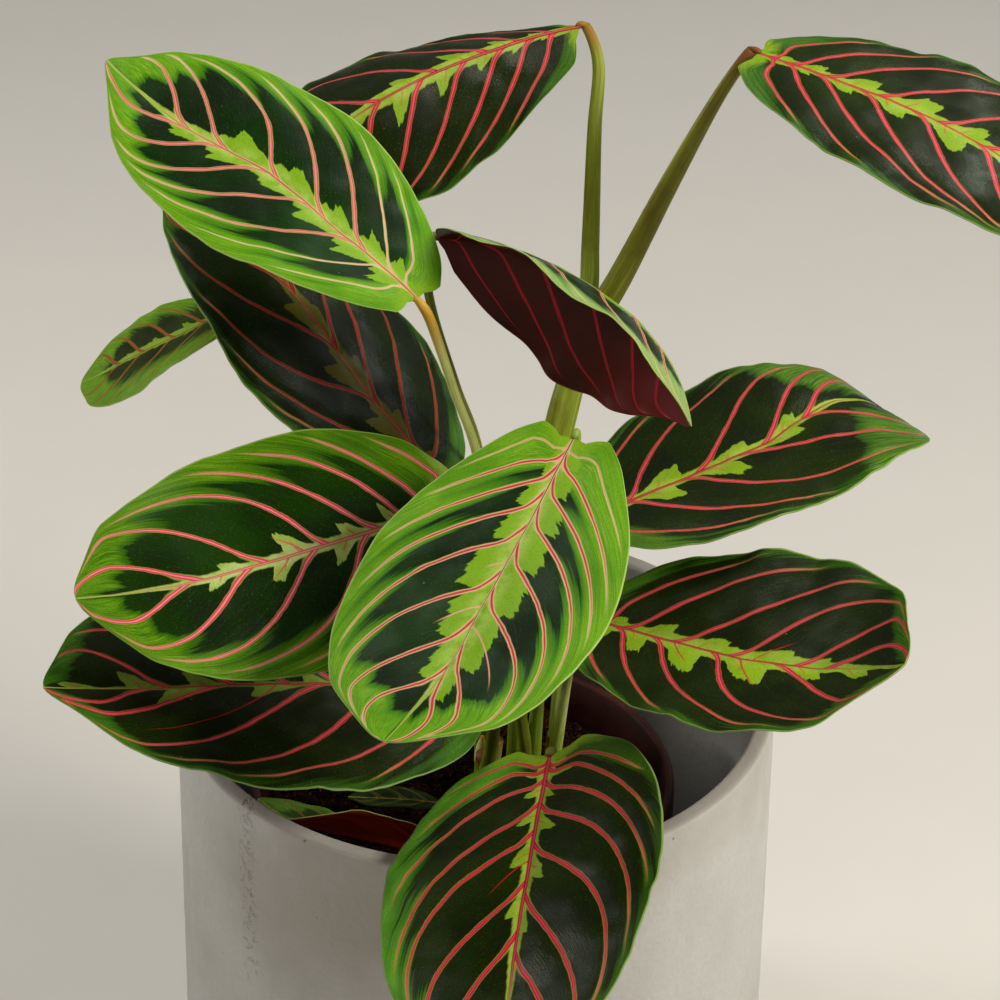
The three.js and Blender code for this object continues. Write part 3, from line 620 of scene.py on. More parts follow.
        "change": {"under": "#9a3010", "underDeep": "#6e180c", "mid": "#4c7c10", "light": "#7cac24",
                   "dark": "#2c5408"},
    },
    "leaf_newest": {
        "base": (-8, -14, 102), "heading": 186, "pitch": 8, "roll": 10, "length": 22, "width": 12,
        "bend": 14, "sway": 10, "droop": 0, "fold": 8, "skew": 0, "cup": 8, "twist": 0,
        "belly": (0.6, 0.6), "wave": 0.2, "waves": 2, "phase": 0.0, "lobes": 0, "look": "tender",
        "left": [(.15, .25, .45), (.40, .52, .72), (.65, .76, .90)],
        "right": [(.15, .25, .45), (.40, .52, .72), (.65, .76, .90)],
        "featherLeft": (.1, .2, .1, .05), "featherRight": (.1, .2, .1, .05),
        # all its colours are painted dark, a painted shade for a leaf low in the pot
        "change": {"dark": "#1a2404", "mid": "#1e2a06", "light": "#2c3c08", "feather": "#34480c",
                   "edge": "#2c3c08", "veinSide": "#3a300c", "veinCore": "#4a3c10", "veinPale": "#3c3c10",
                   "featherPale": "#3c5010"},
    },
}


# How finely each blade is made, how thick it is, and what its map divides the count of veins by.
blade = {"along": 150, "across": 84, "thick": 0.42, "phaseScale": 20.0}


def outlineAt(s, belly):
    # Half the blade's width at s, as a share of its widest. Here and below, s runs from the base, 0,
    # to the tip, 1, and a from the midrib, 0, to the margin, 1. v is a, and less than 0 on the left.
    rise, fall = belly
    widest = rise / (rise + fall)
    s = np.clip(s, 0, 1)
    body = (s / widest) ** rise * ((1 - s) / (1 - widest)) ** fall
    return body * (1 - 0.35 * ease(s, 0.86, 1)) * (1 - 0.12 * np.exp(-((s - 0.03) / 0.03) ** 2))


def leafAxes(leaf):
    # along the blade, to its right and out of its upper face
    h, p, r = (math.radians(leaf[k]) for k in ("heading", "pitch", "roll"))
    along = np.array([math.cos(p) * math.cos(h), math.cos(p) * math.sin(h), math.sin(p)])
    level = np.array([math.sin(h), -math.cos(h), 0])
    upright = np.cross(level, along)
    right = math.cos(r) * level - math.sin(r) * upright
    up = math.sin(r) * level + math.cos(r) * upright
    return along, right, up


def bladePoints(leaf, s, v):
    # the middle surface in mm, at each s (rows) and v (rows by columns)
    along, right, up = leafAxes(leaf)
    fine = np.linspace(0, 1, 513)
    late = np.clip((fine - 0.6) / 0.4, 0, 1) ** 1.5
    lift = np.radians(leaf["bend"]) * (0.5 - fine) - np.radians(leaf["droop"]) * late
    turn = np.radians(leaf["sway"]) * (fine - 0.5)
    tangent = ((np.cos(lift) * np.cos(turn))[:, None] * along + np.sin(lift)[:, None] * up
               + (np.sin(turn) * np.cos(lift))[:, None] * right)
    steps = (tangent[1:] + tangent[:-1]) / 2 * leaf["length"] / 512
    line = np.vstack([[0, 0, 0], np.cumsum(steps, 0)]) + np.array(leaf["base"])
    middle = np.stack([np.interp(s, fine, line[:, k]) for k in range(3)], -1)
    tangent = unit(np.stack([np.interp(s, fine, tangent[:, k]) for k in range(3)], -1))
    flatRight = unit(np.cross(tangent, up))
    flatUp = np.cross(flatRight, tangent)
    twist = np.radians(leaf["twist"]) * (s - 0.5)
    r = np.cos(twist)[:, None] * flatRight - np.sin(twist)[:, None] * flatUp
    u = np.sin(twist)[:, None] * flatRight + np.cos(twist)[:, None] * flatUp
    a, side = np.abs(v), np.sign(v)
    reach = (leaf["width"] / 2 * outlineAt(s, leaf["belly"]))[:, None] * a
    angle = np.radians(leaf["fold"] + side * leaf["skew"] - leaf["cup"] * a / 2)
    ripple = np.sin(2 * np.pi * leaf["waves"] * s[:, None] + leaf["phase"] + np.where(side < 0, 1.7, 0))
    wave = leaf["wave"] * a ** 2.5 * ripple * np.sqrt(np.clip(np.sin(np.pi * s), 0, 1))[:, None]
    back = leaf["lobes"] * np.clip((reach - 3) / 5, 0, 1) * np.exp(-(s / 0.1) ** 2)[:, None]
    outwards = (side * reach * np.cos(angle))[..., None] * r[:, None]
    upwards = (reach * np.sin(angle) + wave)[..., None] * u[:, None]
    return middle[:, None] - back[..., None] * tangent[:, None] + outwards + upwards


def veinLines(veins, a, join):
    # s of each vein at each a, on a curve through the three places that the table gives. join pulls
    # the veins towards the base where they meet the midrib.
    lines = []
    for start, half, edge in veins:
        near, far = half - start, edge - start
        bend = (far - near * 1.8) / (0.9 ** 4 - 1.8 * 0.5 ** 4)
        slope = (near - bend * 0.5 ** 4) / 0.5
        lines.append(start + slope * a + bend * a ** 4 - join * np.clip(1 - a / 0.12, 0, 1) ** 2)
    for i in range(1, len(lines)):
        lines[i] = np.maximum(lines[i], lines[i - 1] + 0.02)
    return np.array(lines)


def phaseGrid(veins, s, a, join):
    # 1 on the first vein, 2 on the second and so on, even in between, at each s and each a
    below, above = 0.12, 0.14  # the step of the count below the first vein and above the last
    columns = []
    for line in veinLines(veins, a, join).T:
        ends = np.concatenate([[line[0] - below], line, [line[-1] + above]])
        value = np.interp(s, ends, np.arange(len(ends)))
        columns.append(value + np.minimum(s - ends[0], 0) / below + np.maximum(s - ends[-1], 0) / above)
    return np.stack(columns, 1)


def lobeGrid(reaches, lean, phase, ribColumn):
    # a coordinate that counts the lobes of the feather, leaning less than the veins do, and the
    # reach of the lobe there
    across = phase * (1 - lean) + phase[:, [ribColumn]] * lean
    cell = np.clip(np.floor(across), 0, len(reaches) - 1).astype(int)
    return across, np.array(reaches, float)[cell]


def veinSpacing(points, phase):
    # distance in mm from one vein to the next, square to them
    ps, pv = np.gradient(points, axis=0), np.gradient(points, axis=1)
    fs, fv = np.gradient(phase, axis=0), np.gradient(phase, axis=1)
    ss, sv, vv = (ps * ps).sum(-1) + 1e-9, (ps * pv).sum(-1), (pv * pv).sum(-1) + 1e-9
    solve = np.maximum(ss * vv - sv * sv, 1e-12)
    slope = (fs * fs * vv - 2 * fs * fv * sv + fv * fv * ss) / solve
    return np.clip(1 / np.sqrt(np.maximum(slope, 1e-9)), 0.8, 20)


def thinVeins(leaf, s, a, share):
    # distance in mm to the nearest of the few thin veins, and how far it still runs
    gap = np.full(a.shape, 9.0)
    show = np.zeros(a.shape)
    for side, start, end, reach in leaf.get("thin", []):
        line = start + (end - start) * (a / reach) ** 1.3
        here = (s[:, None] - line) * leaf["length"] * 0.8
        mine = (np.sign(share)[None, :] == side) | (share[None, :] == 0)
        closer = (np.abs(here) < np.abs(gap)) & mine
        gap = np.where(closer, here, gap)
        show = np.where(closer, 1 - ease(a, reach * 0.8, reach * 1.1), show)
    return gap, show


def bladeGrid(leaf):
    # s of each row, closer near both ends, the share of each column from margin to margin, and the v
    # of each point, which follows the midrib as it strays
    half = blade["across"] // 2
    i = np.arange(blade["along"] + 1) / blade["along"]
    s = i - 0.62 * np.sin(2 * np.pi * i) / (2 * np.pi)
    stray = np.interp(s, [0, .25, .5, .75, 1], leaf.get("midrib", (0,) * 5)) * np.sin(np.pi * s) ** 0.3
    share = np.arange(-half, half + 1) / half
    share = np.sign(share) * (np.abs(share) - 0.05 * np.sin(2 * np.pi * np.abs(share)) / (2 * np.pi))
    v = stray[:, None] + share * (1 - np.sign(share) * stray[:, None])
    return s, share, v


def bladeSkins(leaf, look, points, s, a, cell):
    # the upper and the lower surface, quilted between the veins and ribbed along the middle
    normal = unit(np.cross(np.gradient(points, axis=1), np.gradient(points, axis=0)))
    # the rows at both ends meet in a point, so they borrow the normal of the row beside them
    normal[0], normal[-1] = unit(normal[1].mean(0)), unit(normal[-2].mean(0))
    if normal[blade["along"] // 2, blade["across"] // 2] @ leafAxes(leaf)[2] < 0:
        normal = -normal

    def rough(scale, shift=(0, 0, 0)):
        return np.array([[noise.noise(Vector(p) * scale + Vector(shift)) for p in row] for row in points])

    fromRib = a * leaf["width"] / 2 * outlineAt(s, leaf["belly"])[:, None]
    ends = np.sin(np.pi * np.clip(s, 0, 1))[:, None] ** 0.6
    quilting = np.sin(np.pi * cell) ** 0.9 * ease(a, 0.02, 0.3) * (1 - 0.75 * ease(a, 0.7, 1))
    puff = look["quilt"] * 0.55 * quilting * ends
    groove = 0.3 * np.exp(-(fromRib / 0.9) ** 2) * ends
    ridge = 0.75 * np.exp(-fromRib ** 2) * (1 - 0.6 * s[:, None]) * ends
    crinkle = (rough(0.16) * 0.35 + rough(0.22, (3, 8, 1)) * look["ruffle"] * ease(a, 0.72, 1)) * ends
    thick = blade["thick"] / 2 * (1 - ease(a, 0.93, 1) * 0.45)
    skins = {"top": points + normal * (thick + puff - groove + crinkle)[..., None],
             "bottom": points + normal * (-thick + puff - ridge + crinkle)[..., None]}
    for skin in skins.values():
        skin[0], skin[-1] = skin[0].mean(0), skin[-1].mean(0)
    return skins


def bladeFaces(skins):
    # Closes the two skins with a rim. corners gives the row, column and side of each corner of each
    # face, and under is 1 for the faces of the lower skin.
    rows, columns = blade["along"], blade["across"]
    half = columns // 2
    vertices, index = [], {}
    for layer, skin in skins.items():
        for r in range(rows + 1):
            for c in range(columns + 1):
                if r in (0, rows) and c:
                    index[layer, r, c] = index[layer, r, 0]
                    continue
                index[layer, r, c] = len(vertices)
                vertices.append(skin[r, c] * mm)
    faces, corners, under = [], [], []

    def addFace(spots, lower=0):
        loop = [index[spot] for spot in spots]
        kept = [k for k in range(len(loop)) if loop[k] != loop[k - 1]]
        if len(kept) < 3:
            return
        faces.append([loop[k] for k in kept])
        side = "left" if min(c for _, _, c in spots) < half else "right"
        for k in kept:
            corners.append((spots[k][1], spots[k][2], side))
        under.append(lower)

    for r in range(rows):
        for c in range(columns):
            square = [(r, c), (r, c + 1), (r + 1, c + 1), (r + 1, c)]
            addFace([("top", *spot) for spot in reversed(square)])
            addFace([("bottom", *spot) for spot in square], lower=1)
        for c in (0, columns):
            spots = [("top", r, c), ("top", r + 1, c), ("bottom", r + 1, c), ("bottom", r, c)]
            addFace(spots if c else spots[::-1])
    return vertices, faces, corners, under


def buildBlade(name, leaf, look, materials):
    half = blade["across"] // 2
    s, share, v = bladeGrid(leaf)
    points = bladePoints(leaf, s, v)
    a = np.abs(np.tile(share, (len(s), 1)))
    phases, spacings, lobes = {}, {}, {}
    for side, feather, part, ribColumn in (("left", "featherLeft", slice(0, half + 1), -1),
                                           ("right", "featherRight", slice(half, None), 0)):
        phases[side] = phaseGrid(leaf[side], s, a[0, part], look["join"])
        lobes[side] = lobeGrid(leaf[feather], look["lean"], phases[side], ribColumn)
        spacings[side] = veinSpacing(points[:, part], phases[side])
    phase = np.concatenate([phases["left"][:, :half], phases["right"]], 1)
    skins = bladeSkins(leaf, look, points, s, a, phase - np.floor(phase))
    vertices, faces, corners, under = bladeFaces(skins)
    piece = newPiece(name.replace("leaf_", "blade_"), vertices, faces, materials)
    mesh = piece.data
    mesh.polygons.foreach_set("material_index", under)
    # what the leaf material reads at each corner of each face
    thinGap, thinShow = thinVeins(leaf, s, a, share)
    halfWidth = leaf["width"] / 2 * outlineAt(s, leaf["belly"])
    held = {"flow": [], "lie": [], "veinSize": [], "veinFine": [], "lobe": []}
    for r, c, side in corners:
        k = c if side == "left" else c - half
        p = phases[side][r, k]
        shown = 1.0 if 1 <= round(p) <= len(leaf[side]) else 0.0
        held["flow"] += [p / blade["phaseScale"], a[r, c]]
        held["lie"] += [s[r], 0.5 + share[c] / 2]
        held["veinSize"] += [spacings[side][r, k], halfWidth[r], shown]
        held["veinFine"] += [thinGap[r, c], thinShow[r, c], 1.0 if side == "right" else 0.0]
        held["lobe"] += [lobes[side][0][r, k], lobes[side][1][r, k], 0.0]
    for key in ("flow", "lie"):
        mesh.uv_layers.new(name=key).data.foreach_set("uv", held[key])
    for key in ("veinSize", "veinFine", "lobe"):
        mesh.attributes.new(key, "FLOAT_VECTOR", "CORNER").data.foreach_set("vector", held[key])
    dress(piece, "blade", name)


# What the four looks and the leaves' own changes start from. dark is the blotch between the feather
# and darkEdge, and mid and light are the two greens of the margin beyond it. Widths are in mm.
leafLook = {
    "dark": "#152c04", "darker": "#0a1a01", "fleck": "#2a4a08", "between": "#24500a", "under": "#34100c",
    # the margin colour here, and the lower face's margin colour further down, are painted highlights along
    # the edge
    "underDeep": "#24070a", "underVein": "#a31526", "edge": "#8fae5a", "ribCore": "#7c2a14",
    "ribEnd": "#9cba48", "underStreak": "#5a2a1c", "underTip": "#8c1420", "underFoot": "#4a0c06",
    # the bright speck colour on the next line is a painted glint
    "underRib": "#8c2a1e", "underEdgeHighlight": "#a85a2a", "pore": "#081402", "paintedGlint": "#c8e070", "dust": "#c9d0b8",
    # the dust colour on the line above is partly real dust and partly painted glints
    "shine": 0.12, "relief": 0.24, "underRough": (0.45, 0.58), "underShine": 0.3, "underRelief": 0.3,
    "band": 0.045, "lean": 0.5, "plateau": 0.0, "jag": 0.3, "stub": 0.5, "join": 0.02, "flare": 0.45,
    "darkEdge": 0.95, "streak": 0.25, "round": 0.14, "veinWidth": 0.5, "veinSoft": 0.09, "haloWidth": 0.2,
    "paleUntil": 0.4, "coreShare": 0.5, "paleFrom": 0.68, "dimLeft": 0, "darkRight": 0.0, "late": 0.0,
    "wide": 0.0, "ribBase": 0.5, "ribTip": 0.16, "tipLight": 0.93, "quilt": 0.75, "ruffle": 0.6,
    "gloss": 0.25,
}

# in each look, the margin colour is a painted highlight along the edge
looks = {
    # each look's halo colour is partly the leaf's own pale halo and partly a painted highlight
    "bright": {
        "dark": "#0c2c03", "darker": "#061a01", "fleck": "#1c5006", "between": "#2c6e06", "mid": "#4a8a06",
        "light": "#84ba1e", "feather": "#7eae16", "featherPale": "#b2ce60", "veinSide": "#eaa78e",
        "veinCore": "#c4283c", "veinPale": "#cfd884", "haloAndHighlight": "#c8d67a", "rib": "#d3c08a",
        "ribCore": "#64260c", "edge": "#b4d070", "darkEdge": 0.66, "streak": 0.18, "round": 0.28,
        "band": 0.06, "lean": 0.1, "plateau": 1.0, "jag": 0.22, "stub": 0.0, "join": 0.05, "flare": 0.3,
        "veinWidth": 0.44, "haloWidth": 0.24, "paleUntil": 1.5, "ribBase": 0.3, "ribTip": 0.16,
        "coreShare": 0.75, "paleFrom": 0.45, "darkRight": 0.06, "tipLight": 0.9, "quilt": 0.6,
        "ruffle": 0.3, "gloss": 0.3,
    },
    "halfway": {
        "dark": "#122e02", "darker": "#0a1e01", "fleck": "#245006", "between": "#2a5c04", "mid": "#3a6e04",
        "light": "#74a61c", "feather": "#a0c050", "featherPale": "#c6d88c", "veinSide": "#dc3a50",
        "veinCore": "#f2929a", "veinPale": "#e08a76", "haloAndHighlight": "#a9bc58", "rib": "#c8625a",
        "ribCore": "#dfa07c", "edge": "#98bc50", "darkEdge": 0.68, "streak": 0.22, "round": 0.28,
        "band": 0.045, "join": 0.015, "flare": 0.7, "stub": 0.8, "veinWidth": 0.54, "ribBase": 0.62,
        "ribTip": 0.2, "tipLight": 0.9, "quilt": 0.6, "ruffle": 0.3,
    },
    "deep": {
        "dark": "#1a2804", "darker": "#101a01", "fleck": "#2a400a", "mid": "#2a5606", "light": "#4f8420",
        "feather": "#88ae1e", "featherPale": "#a8c24c", "veinSide": "#c4102e", "veinCore": "#e6546e",
        "veinPale": "#d9705e", "haloAndHighlight": "#8c9a3a", "rib": "#9a1c24", "ribCore": "#c8584a", "jag": 0.2,
        "plateau": 0.12, "coreShare": 0.6, "paleFrom": 0.76,
    },
    "tender": {
        "dark": "#283204", "darker": "#1c2404", "mid": "#3e5408", "light": "#5e7c14", "feather": "#5e7818",
        "featherPale": "#708828", "veinCore": "#b0602a", "veinSide": "#8c3a14", "veinPale": "#8c6a34",
        "haloAndHighlight": "#8a9a3c", "rib": "#8a7a30", "under": "#5a2016", "underVein": "#a03022", "edge": "#b4cc70",
        "band": 0.1, "jag": 0.4, "stub": 0.0, "darkEdge": 0.7, "streak": 0.4, "veinWidth": 0.3,
        "haloWidth": 0.2, "ribBase": 0.3, "tipLight": 0.85, "quilt": 0.6, "gloss": 0.36,
    },
}


def veinMasks(w, look, shift):
    # where the veins, the midrib and what goes with them lie, for the upper and the lower face
    place = w.place()
    turns, a = w.split(w.uvMap("flow"))[:2]
    phase = turns * blade["phaseScale"]
    s = w.split(w.uvMap("lie"))[0]
    spacing, halfWidth, shown = w.split(w.attribute("veinSize"))
    thinGap, thinShow, rightSide = w.split(w.attribute("veinFine"))
    waver = (w.noise(place, 160, 2) - 0.5) * 0.05
    cell = w.sum("FRACT", phase + waver)
    gap = (0.5 - abs(cell - 0.5)) * spacing
    stream = w.noise(w.vector(phase * 13.0, a * 2.6, rightSide * 7.3 + shift), 1.0, 3, 0.6)
    early = w.ramp(phase, look["paleUntil"] - 0.1, look["paleUntil"] + 0.1, 1, 0)
    taper = w.ramp(a, 0.3, 1.0, 1.0, 0.5) * (1.0 - early * 0.45)
    swell = w.ramp(w.noise(place, 300, 1), 0.3, 0.7, 0.85, 1.15)
    width = taper * look["veinWidth"] * swell
    # veins fade out short of the margin
    ending = w.ramp(a + (stream - 0.5) * 0.1, 0.82, 0.95, 1, 0) * shown
    vein = w.ramp(gap, width - look["veinSoft"], width + look["veinSoft"], 1, 0) * ending
    coreWidth = width * look["coreShare"]
    core = w.ramp(gap, coreWidth * 0.4, coreWidth, 1, 0) * ending
    # the pale line beside each vein, partly the leaf's own pale halo and partly a painted highlight on the
    # vein's lit side, widens into a fillet where it leaves the midrib
    haloOut = width + look["haloWidth"] + w.ramp(a, 0.0, 0.16, look["flare"], 0)
    haloAndHighlight = w.ramp(gap, width - 0.05, haloOut, 1, 0) * ending
    thin = w.ramp(abs(thinGap), 0.1, 0.32, 1, 0) * thinShow
    fromRib = a * halfWidth
    ribWidth = w.ramp(s, 0.0, 0.85, look["ribBase"], look["ribTip"], "LINEAR")
    rib = w.ramp(fromRib, ribWidth * 0.8, ribWidth + 0.08, 1, 0)
    ribHeart = w.ramp(fromRib, ribWidth * 0.2, ribWidth * 0.6, 1, 0)
    return SimpleNamespace(place=place, phase=phase, cell=cell, a=a, s=s, spacing=spacing, stream=stream,
                           rightSide=rightSide, early=early, vein=vein, core=core, haloAndHighlight=haloAndHighlight, thin=thin,
                           rib=rib, ribHeart=ribHeart)


def featherMask(w, g, look, shift):
    # the pale band along the midrib, with one lobe to a cell and its own teeth
    count, far = w.split(w.attribute("lobe"))[:2]
    wobble = (w.noise(g.place, 420, 1) - 0.5) * 0.1
    spot = w.sum("FRACT", count + wobble)
    fin = w.ramp(spot, 0.12, 0.5) * w.ramp(spot, 0.56 + look["wide"], 0.66 + look["wide"], 1, 0)
    broad = w.ramp(spot, 0.0, 0.2, 0.62, 1) * w.ramp(spot, 0.8, 1.0, 1, 0.62)
    shape = fin * (1 - look["plateau"]) + broad * look["plateau"]
    teeth = w.noise(w.vector(count * 6.5, g.a * 3.0, g.rightSide * 5.0 + shift), 1.0, 3, 0.65) - 0.5
    reach = far * shape * (teeth * (look["jag"] * 4) + 1.0)
    narrow = w.ramp(g.s, 0.6, 0.95, 1, 0.25) * (teeth * 0.8 + 1.0)
    reach = w.sum("SMOOTH_MAX", reach, narrow * look["band"], 0.03) + w.ramp(g.s, 0.03, 0.14, 0.1, 0)
    feather = w.ramp(g.a - reach, -0.01, 0.01, 1, 0)
    foot = w.ramp(g.s + teeth * 0.06, 0.015, 0.06, 1, 0)
    # a short red vein stands in each broad lobe
    stub = w.ramp(abs(spot - 0.44) * g.spacing, 0.08, 0.26, 1, 0) * w.ramp(far, 0.1, 0.14)
    stub = stub * w.ramp(g.a - reach * 0.55, -0.02, 0.03, 1, 0) * look["stub"]
    return w.sum("MAXIMUM", feather, foot), stub


def upperMaterial(name, look, shift):
    w = Paint(name + "Upper")
    g = veinMasks(w, look, shift)
    a, s, stream, place = g.a, g.s, g.stream, g.place
    fineStream = w.noise(w.vector(g.phase * 34.0, a * 6.0, g.rightSide * 3.1 + shift), 1.0, 3, 0.65)
    cloud = w.noise(place, 75, 3, 0.55)
    speck = w.noise(place, 2600, 2, 0.6)
    # the blotch is rounded between the veins and ends in streaks that follow them
    towardTip = w.ramp(s, look["tipLight"] - 0.14, look["tipLight"] + 0.06)
    middle = 1.0 - abs(g.cell * 2.0 - 1.0)
    reach = (stream - 0.5) * (look["streak"] * 1.5) + look["darkEdge"]
    reach = reach + (fineStream - 0.5) * (look["streak"] * 0.5) + (middle - 0.6) * look["round"]
    reach = reach - towardTip * 0.75 - w.ramp(s, 0.02, 0.2, 0.6, 0) - w.ramp(s, 0.12, 0.5, look["late"], 0)
    beyond = a - (reach + g.rightSide * look["darkRight"])
    feather, stub = featherMask(w, g, look, shift)
    # the margin's greens
    green = w.mix(w.ramp(fineStream, 0.34, 0.68), look["mid"], look["light"])
    green = w.mix(w.ramp(cloud, 0.4, 0.7, 0, 0.6), green, look["mid"])
    green = w.mix(w.ramp(stream, 0.5, 0.75, 0, 0.45), green, look["light"])
    green = w.mix(w.ramp(beyond, 0.02, 0.22, 0.75, 0), green, look["between"])
    green = w.mix((1.0 - g.rightSide) * look["dimLeft"], green, look["fleck"])
    # the blotch
    dark = w.mix(w.ramp(cloud, 0.35, 0.7), look["dark"], look["darker"])
    dark = w.mix(w.ramp(fineStream, 0.5, 0.8, 0, 0.35), dark, look["fleck"])
    dark = w.mix(w.ramp(w.noise(place, 30, 2), 0.52, 0.7, 0, 0.35), dark, look["fleck"])
    tone = w.mix(w.ramp(beyond, -0.05, 0.05, 1, 0), green, dark)
    # the feather, paler towards the midrib
    warmth = w.ramp(w.noise(place, 260, 3), 0.3, 0.6) * w.ramp(a, 0.0, 0.16, 0.85, 0.05)
    warm = w.mix(warmth, look["feather"], look["featherPale"])
    warm = w.mix(w.ramp(fineStream, 0.55, 0.8, 0, 0.35), warm, look["mid"])
    tone = w.mix(feather, tone, warm)
    tone = w.mix(w.ramp(speck, 0.5, 0.3, 0, 0.22), tone, look["pore"])
    # fine bright specks, painted glints where the leaf's cells catch the light
    tone = w.mix(w.ramp(speck, 0.6, 0.8, 0, 0.1), tone, look["paintedGlint"])
    # the veins, which turn pale towards the margin, and the midrib
    # the pale line beside the veins: partly the leaf's own colour, partly a painted highlight
    tone = w.mix(g.haloAndHighlight * 0.8, tone, look["haloAndHighlight"])
    side = w.mix(w.ramp(a, look["paleFrom"], 0.92, 0, 0.8), look["veinSide"], look["veinPale"])
    side = w.mix(g.early * 0.8, side, look["veinPale"])
    heart = w.mix(w.ramp(a, look["paleFrom"] + 0.03, 0.94, 0, 0.85), look["veinCore"], look["veinPale"])
    heart = w.mix(g.early * 0.7, heart, look["veinPale"])
    tone = w.mix(g.vein, tone, side)
    tone = w.mix(g.core * 0.95, tone, heart)
    tone = w.mix(w.sum("MAXIMUM", g.thin, stub) * 0.85, tone, look["veinSide"])
    ribShare = g.ribHeart * w.ramp(w.noise(place, 220, 2), 0.3, 0.6, 0.8, 1)
    ribTone = w.mix(ribShare, look["rib"], look["ribCore"])
    ribTone = w.mix(w.ramp(s, 0.66, 0.9, 0, 0.85), ribTone, look["ribEnd"])
    tone = w.mix(g.rib, tone, ribTone)
    # a pale line painted along the very margin, a painted highlight where light catches the edge
    tone = w.mix(w.ramp(a, 0.982, 0.994, 0, 0.8), tone, look["edge"])
    # scattered specks, partly real dust and partly painted glints
    dust = w.ramp(w.cells(place, 260), 0.03, 0.07, 1, 0) * w.ramp(w.noise(place, 90, 1), 0.6, 0.7)
    tone = w.mix(dust * 0.5, tone, look["dust"])
    skin = fineStream * 0.55 + speck * 0.35 + g.core * 0.5 - g.rib * 0.6
    rough = w.ramp(cloud + (speck - 0.5) * 0.3, 0.4, 0.66, look["gloss"], look["gloss"] + 0.2)
    return w.finish(tone, rough, w.bump(skin, 0.5, look["relief"] * mm), look["shine"])


def lowerMaterial(name, look, shift):
    w = Paint(name + "Lower")
    g = veinMasks(w, look, shift)
    cloud = w.noise(g.place, 45, 3)
    tone = w.mix(w.ramp(cloud, 0.3, 0.7), look["under"], look["underDeep"])
    tone = w.mix(w.ramp(g.stream, 0.5, 0.8, 0, 0.3), tone, look["underStreak"])
    tone = w.mix(w.ramp(g.s, 0.55, 1.0, 0, 0.55), tone, look["underTip"])
    tone = w.mix(w.ramp(g.s, 0.3, 0.05, 0, 0.7), tone, look["underFoot"])
    tone = w.mix(g.vein * 0.7, tone, look["underVein"])
    tone = w.mix(g.rib, tone, look["underRib"])
    # the same painted highlight, painted along the margin of the lower face
    tone = w.mix(w.ramp(g.a, 0.982, 0.994, 0, 0.8), tone, look["underEdgeHighlight"])
    relief = w.bump(g.core + g.stream * 0.3, 0.45, look["underRelief"] * mm)
    return w.finish(tone, w.ramp(cloud, 0.3, 0.7, *look["underRough"]), relief, look["underShine"])


def lookOf(leaf):
    return {**leafLook, **looks[leaf["look"]], **leaf.get("change", {})}


for order, (name, leaf) in enumerate(leaves.items()):
    look, shift = lookOf(leaf), order * 3.7  # the shift gives each leaf its own streaks
    buildBlade(name, leaf, look, [upperMaterial(name, look, shift), lowerMaterial(name, look, shift)])
print("blades built:", len(leaves))


# Each stalk is a line of points with a radius at each. One that carries a blade ends with two more
# radii, for the swollen joint under that blade. flat is how far its section is flattened, from 1,
# which is round, and across turns the flattened section about the line.
stalkForm = {"sides": 20, "step": 0.9, "jointLength": 1.7, "jointGap": 0.05,
             "fibrePale": "#b9c65e", "fibreDark": "#74501a", "patch": "#6c4a1c", "rough": (0.42, 0.58),
             "shine": 0.35, "relief": 0.2}

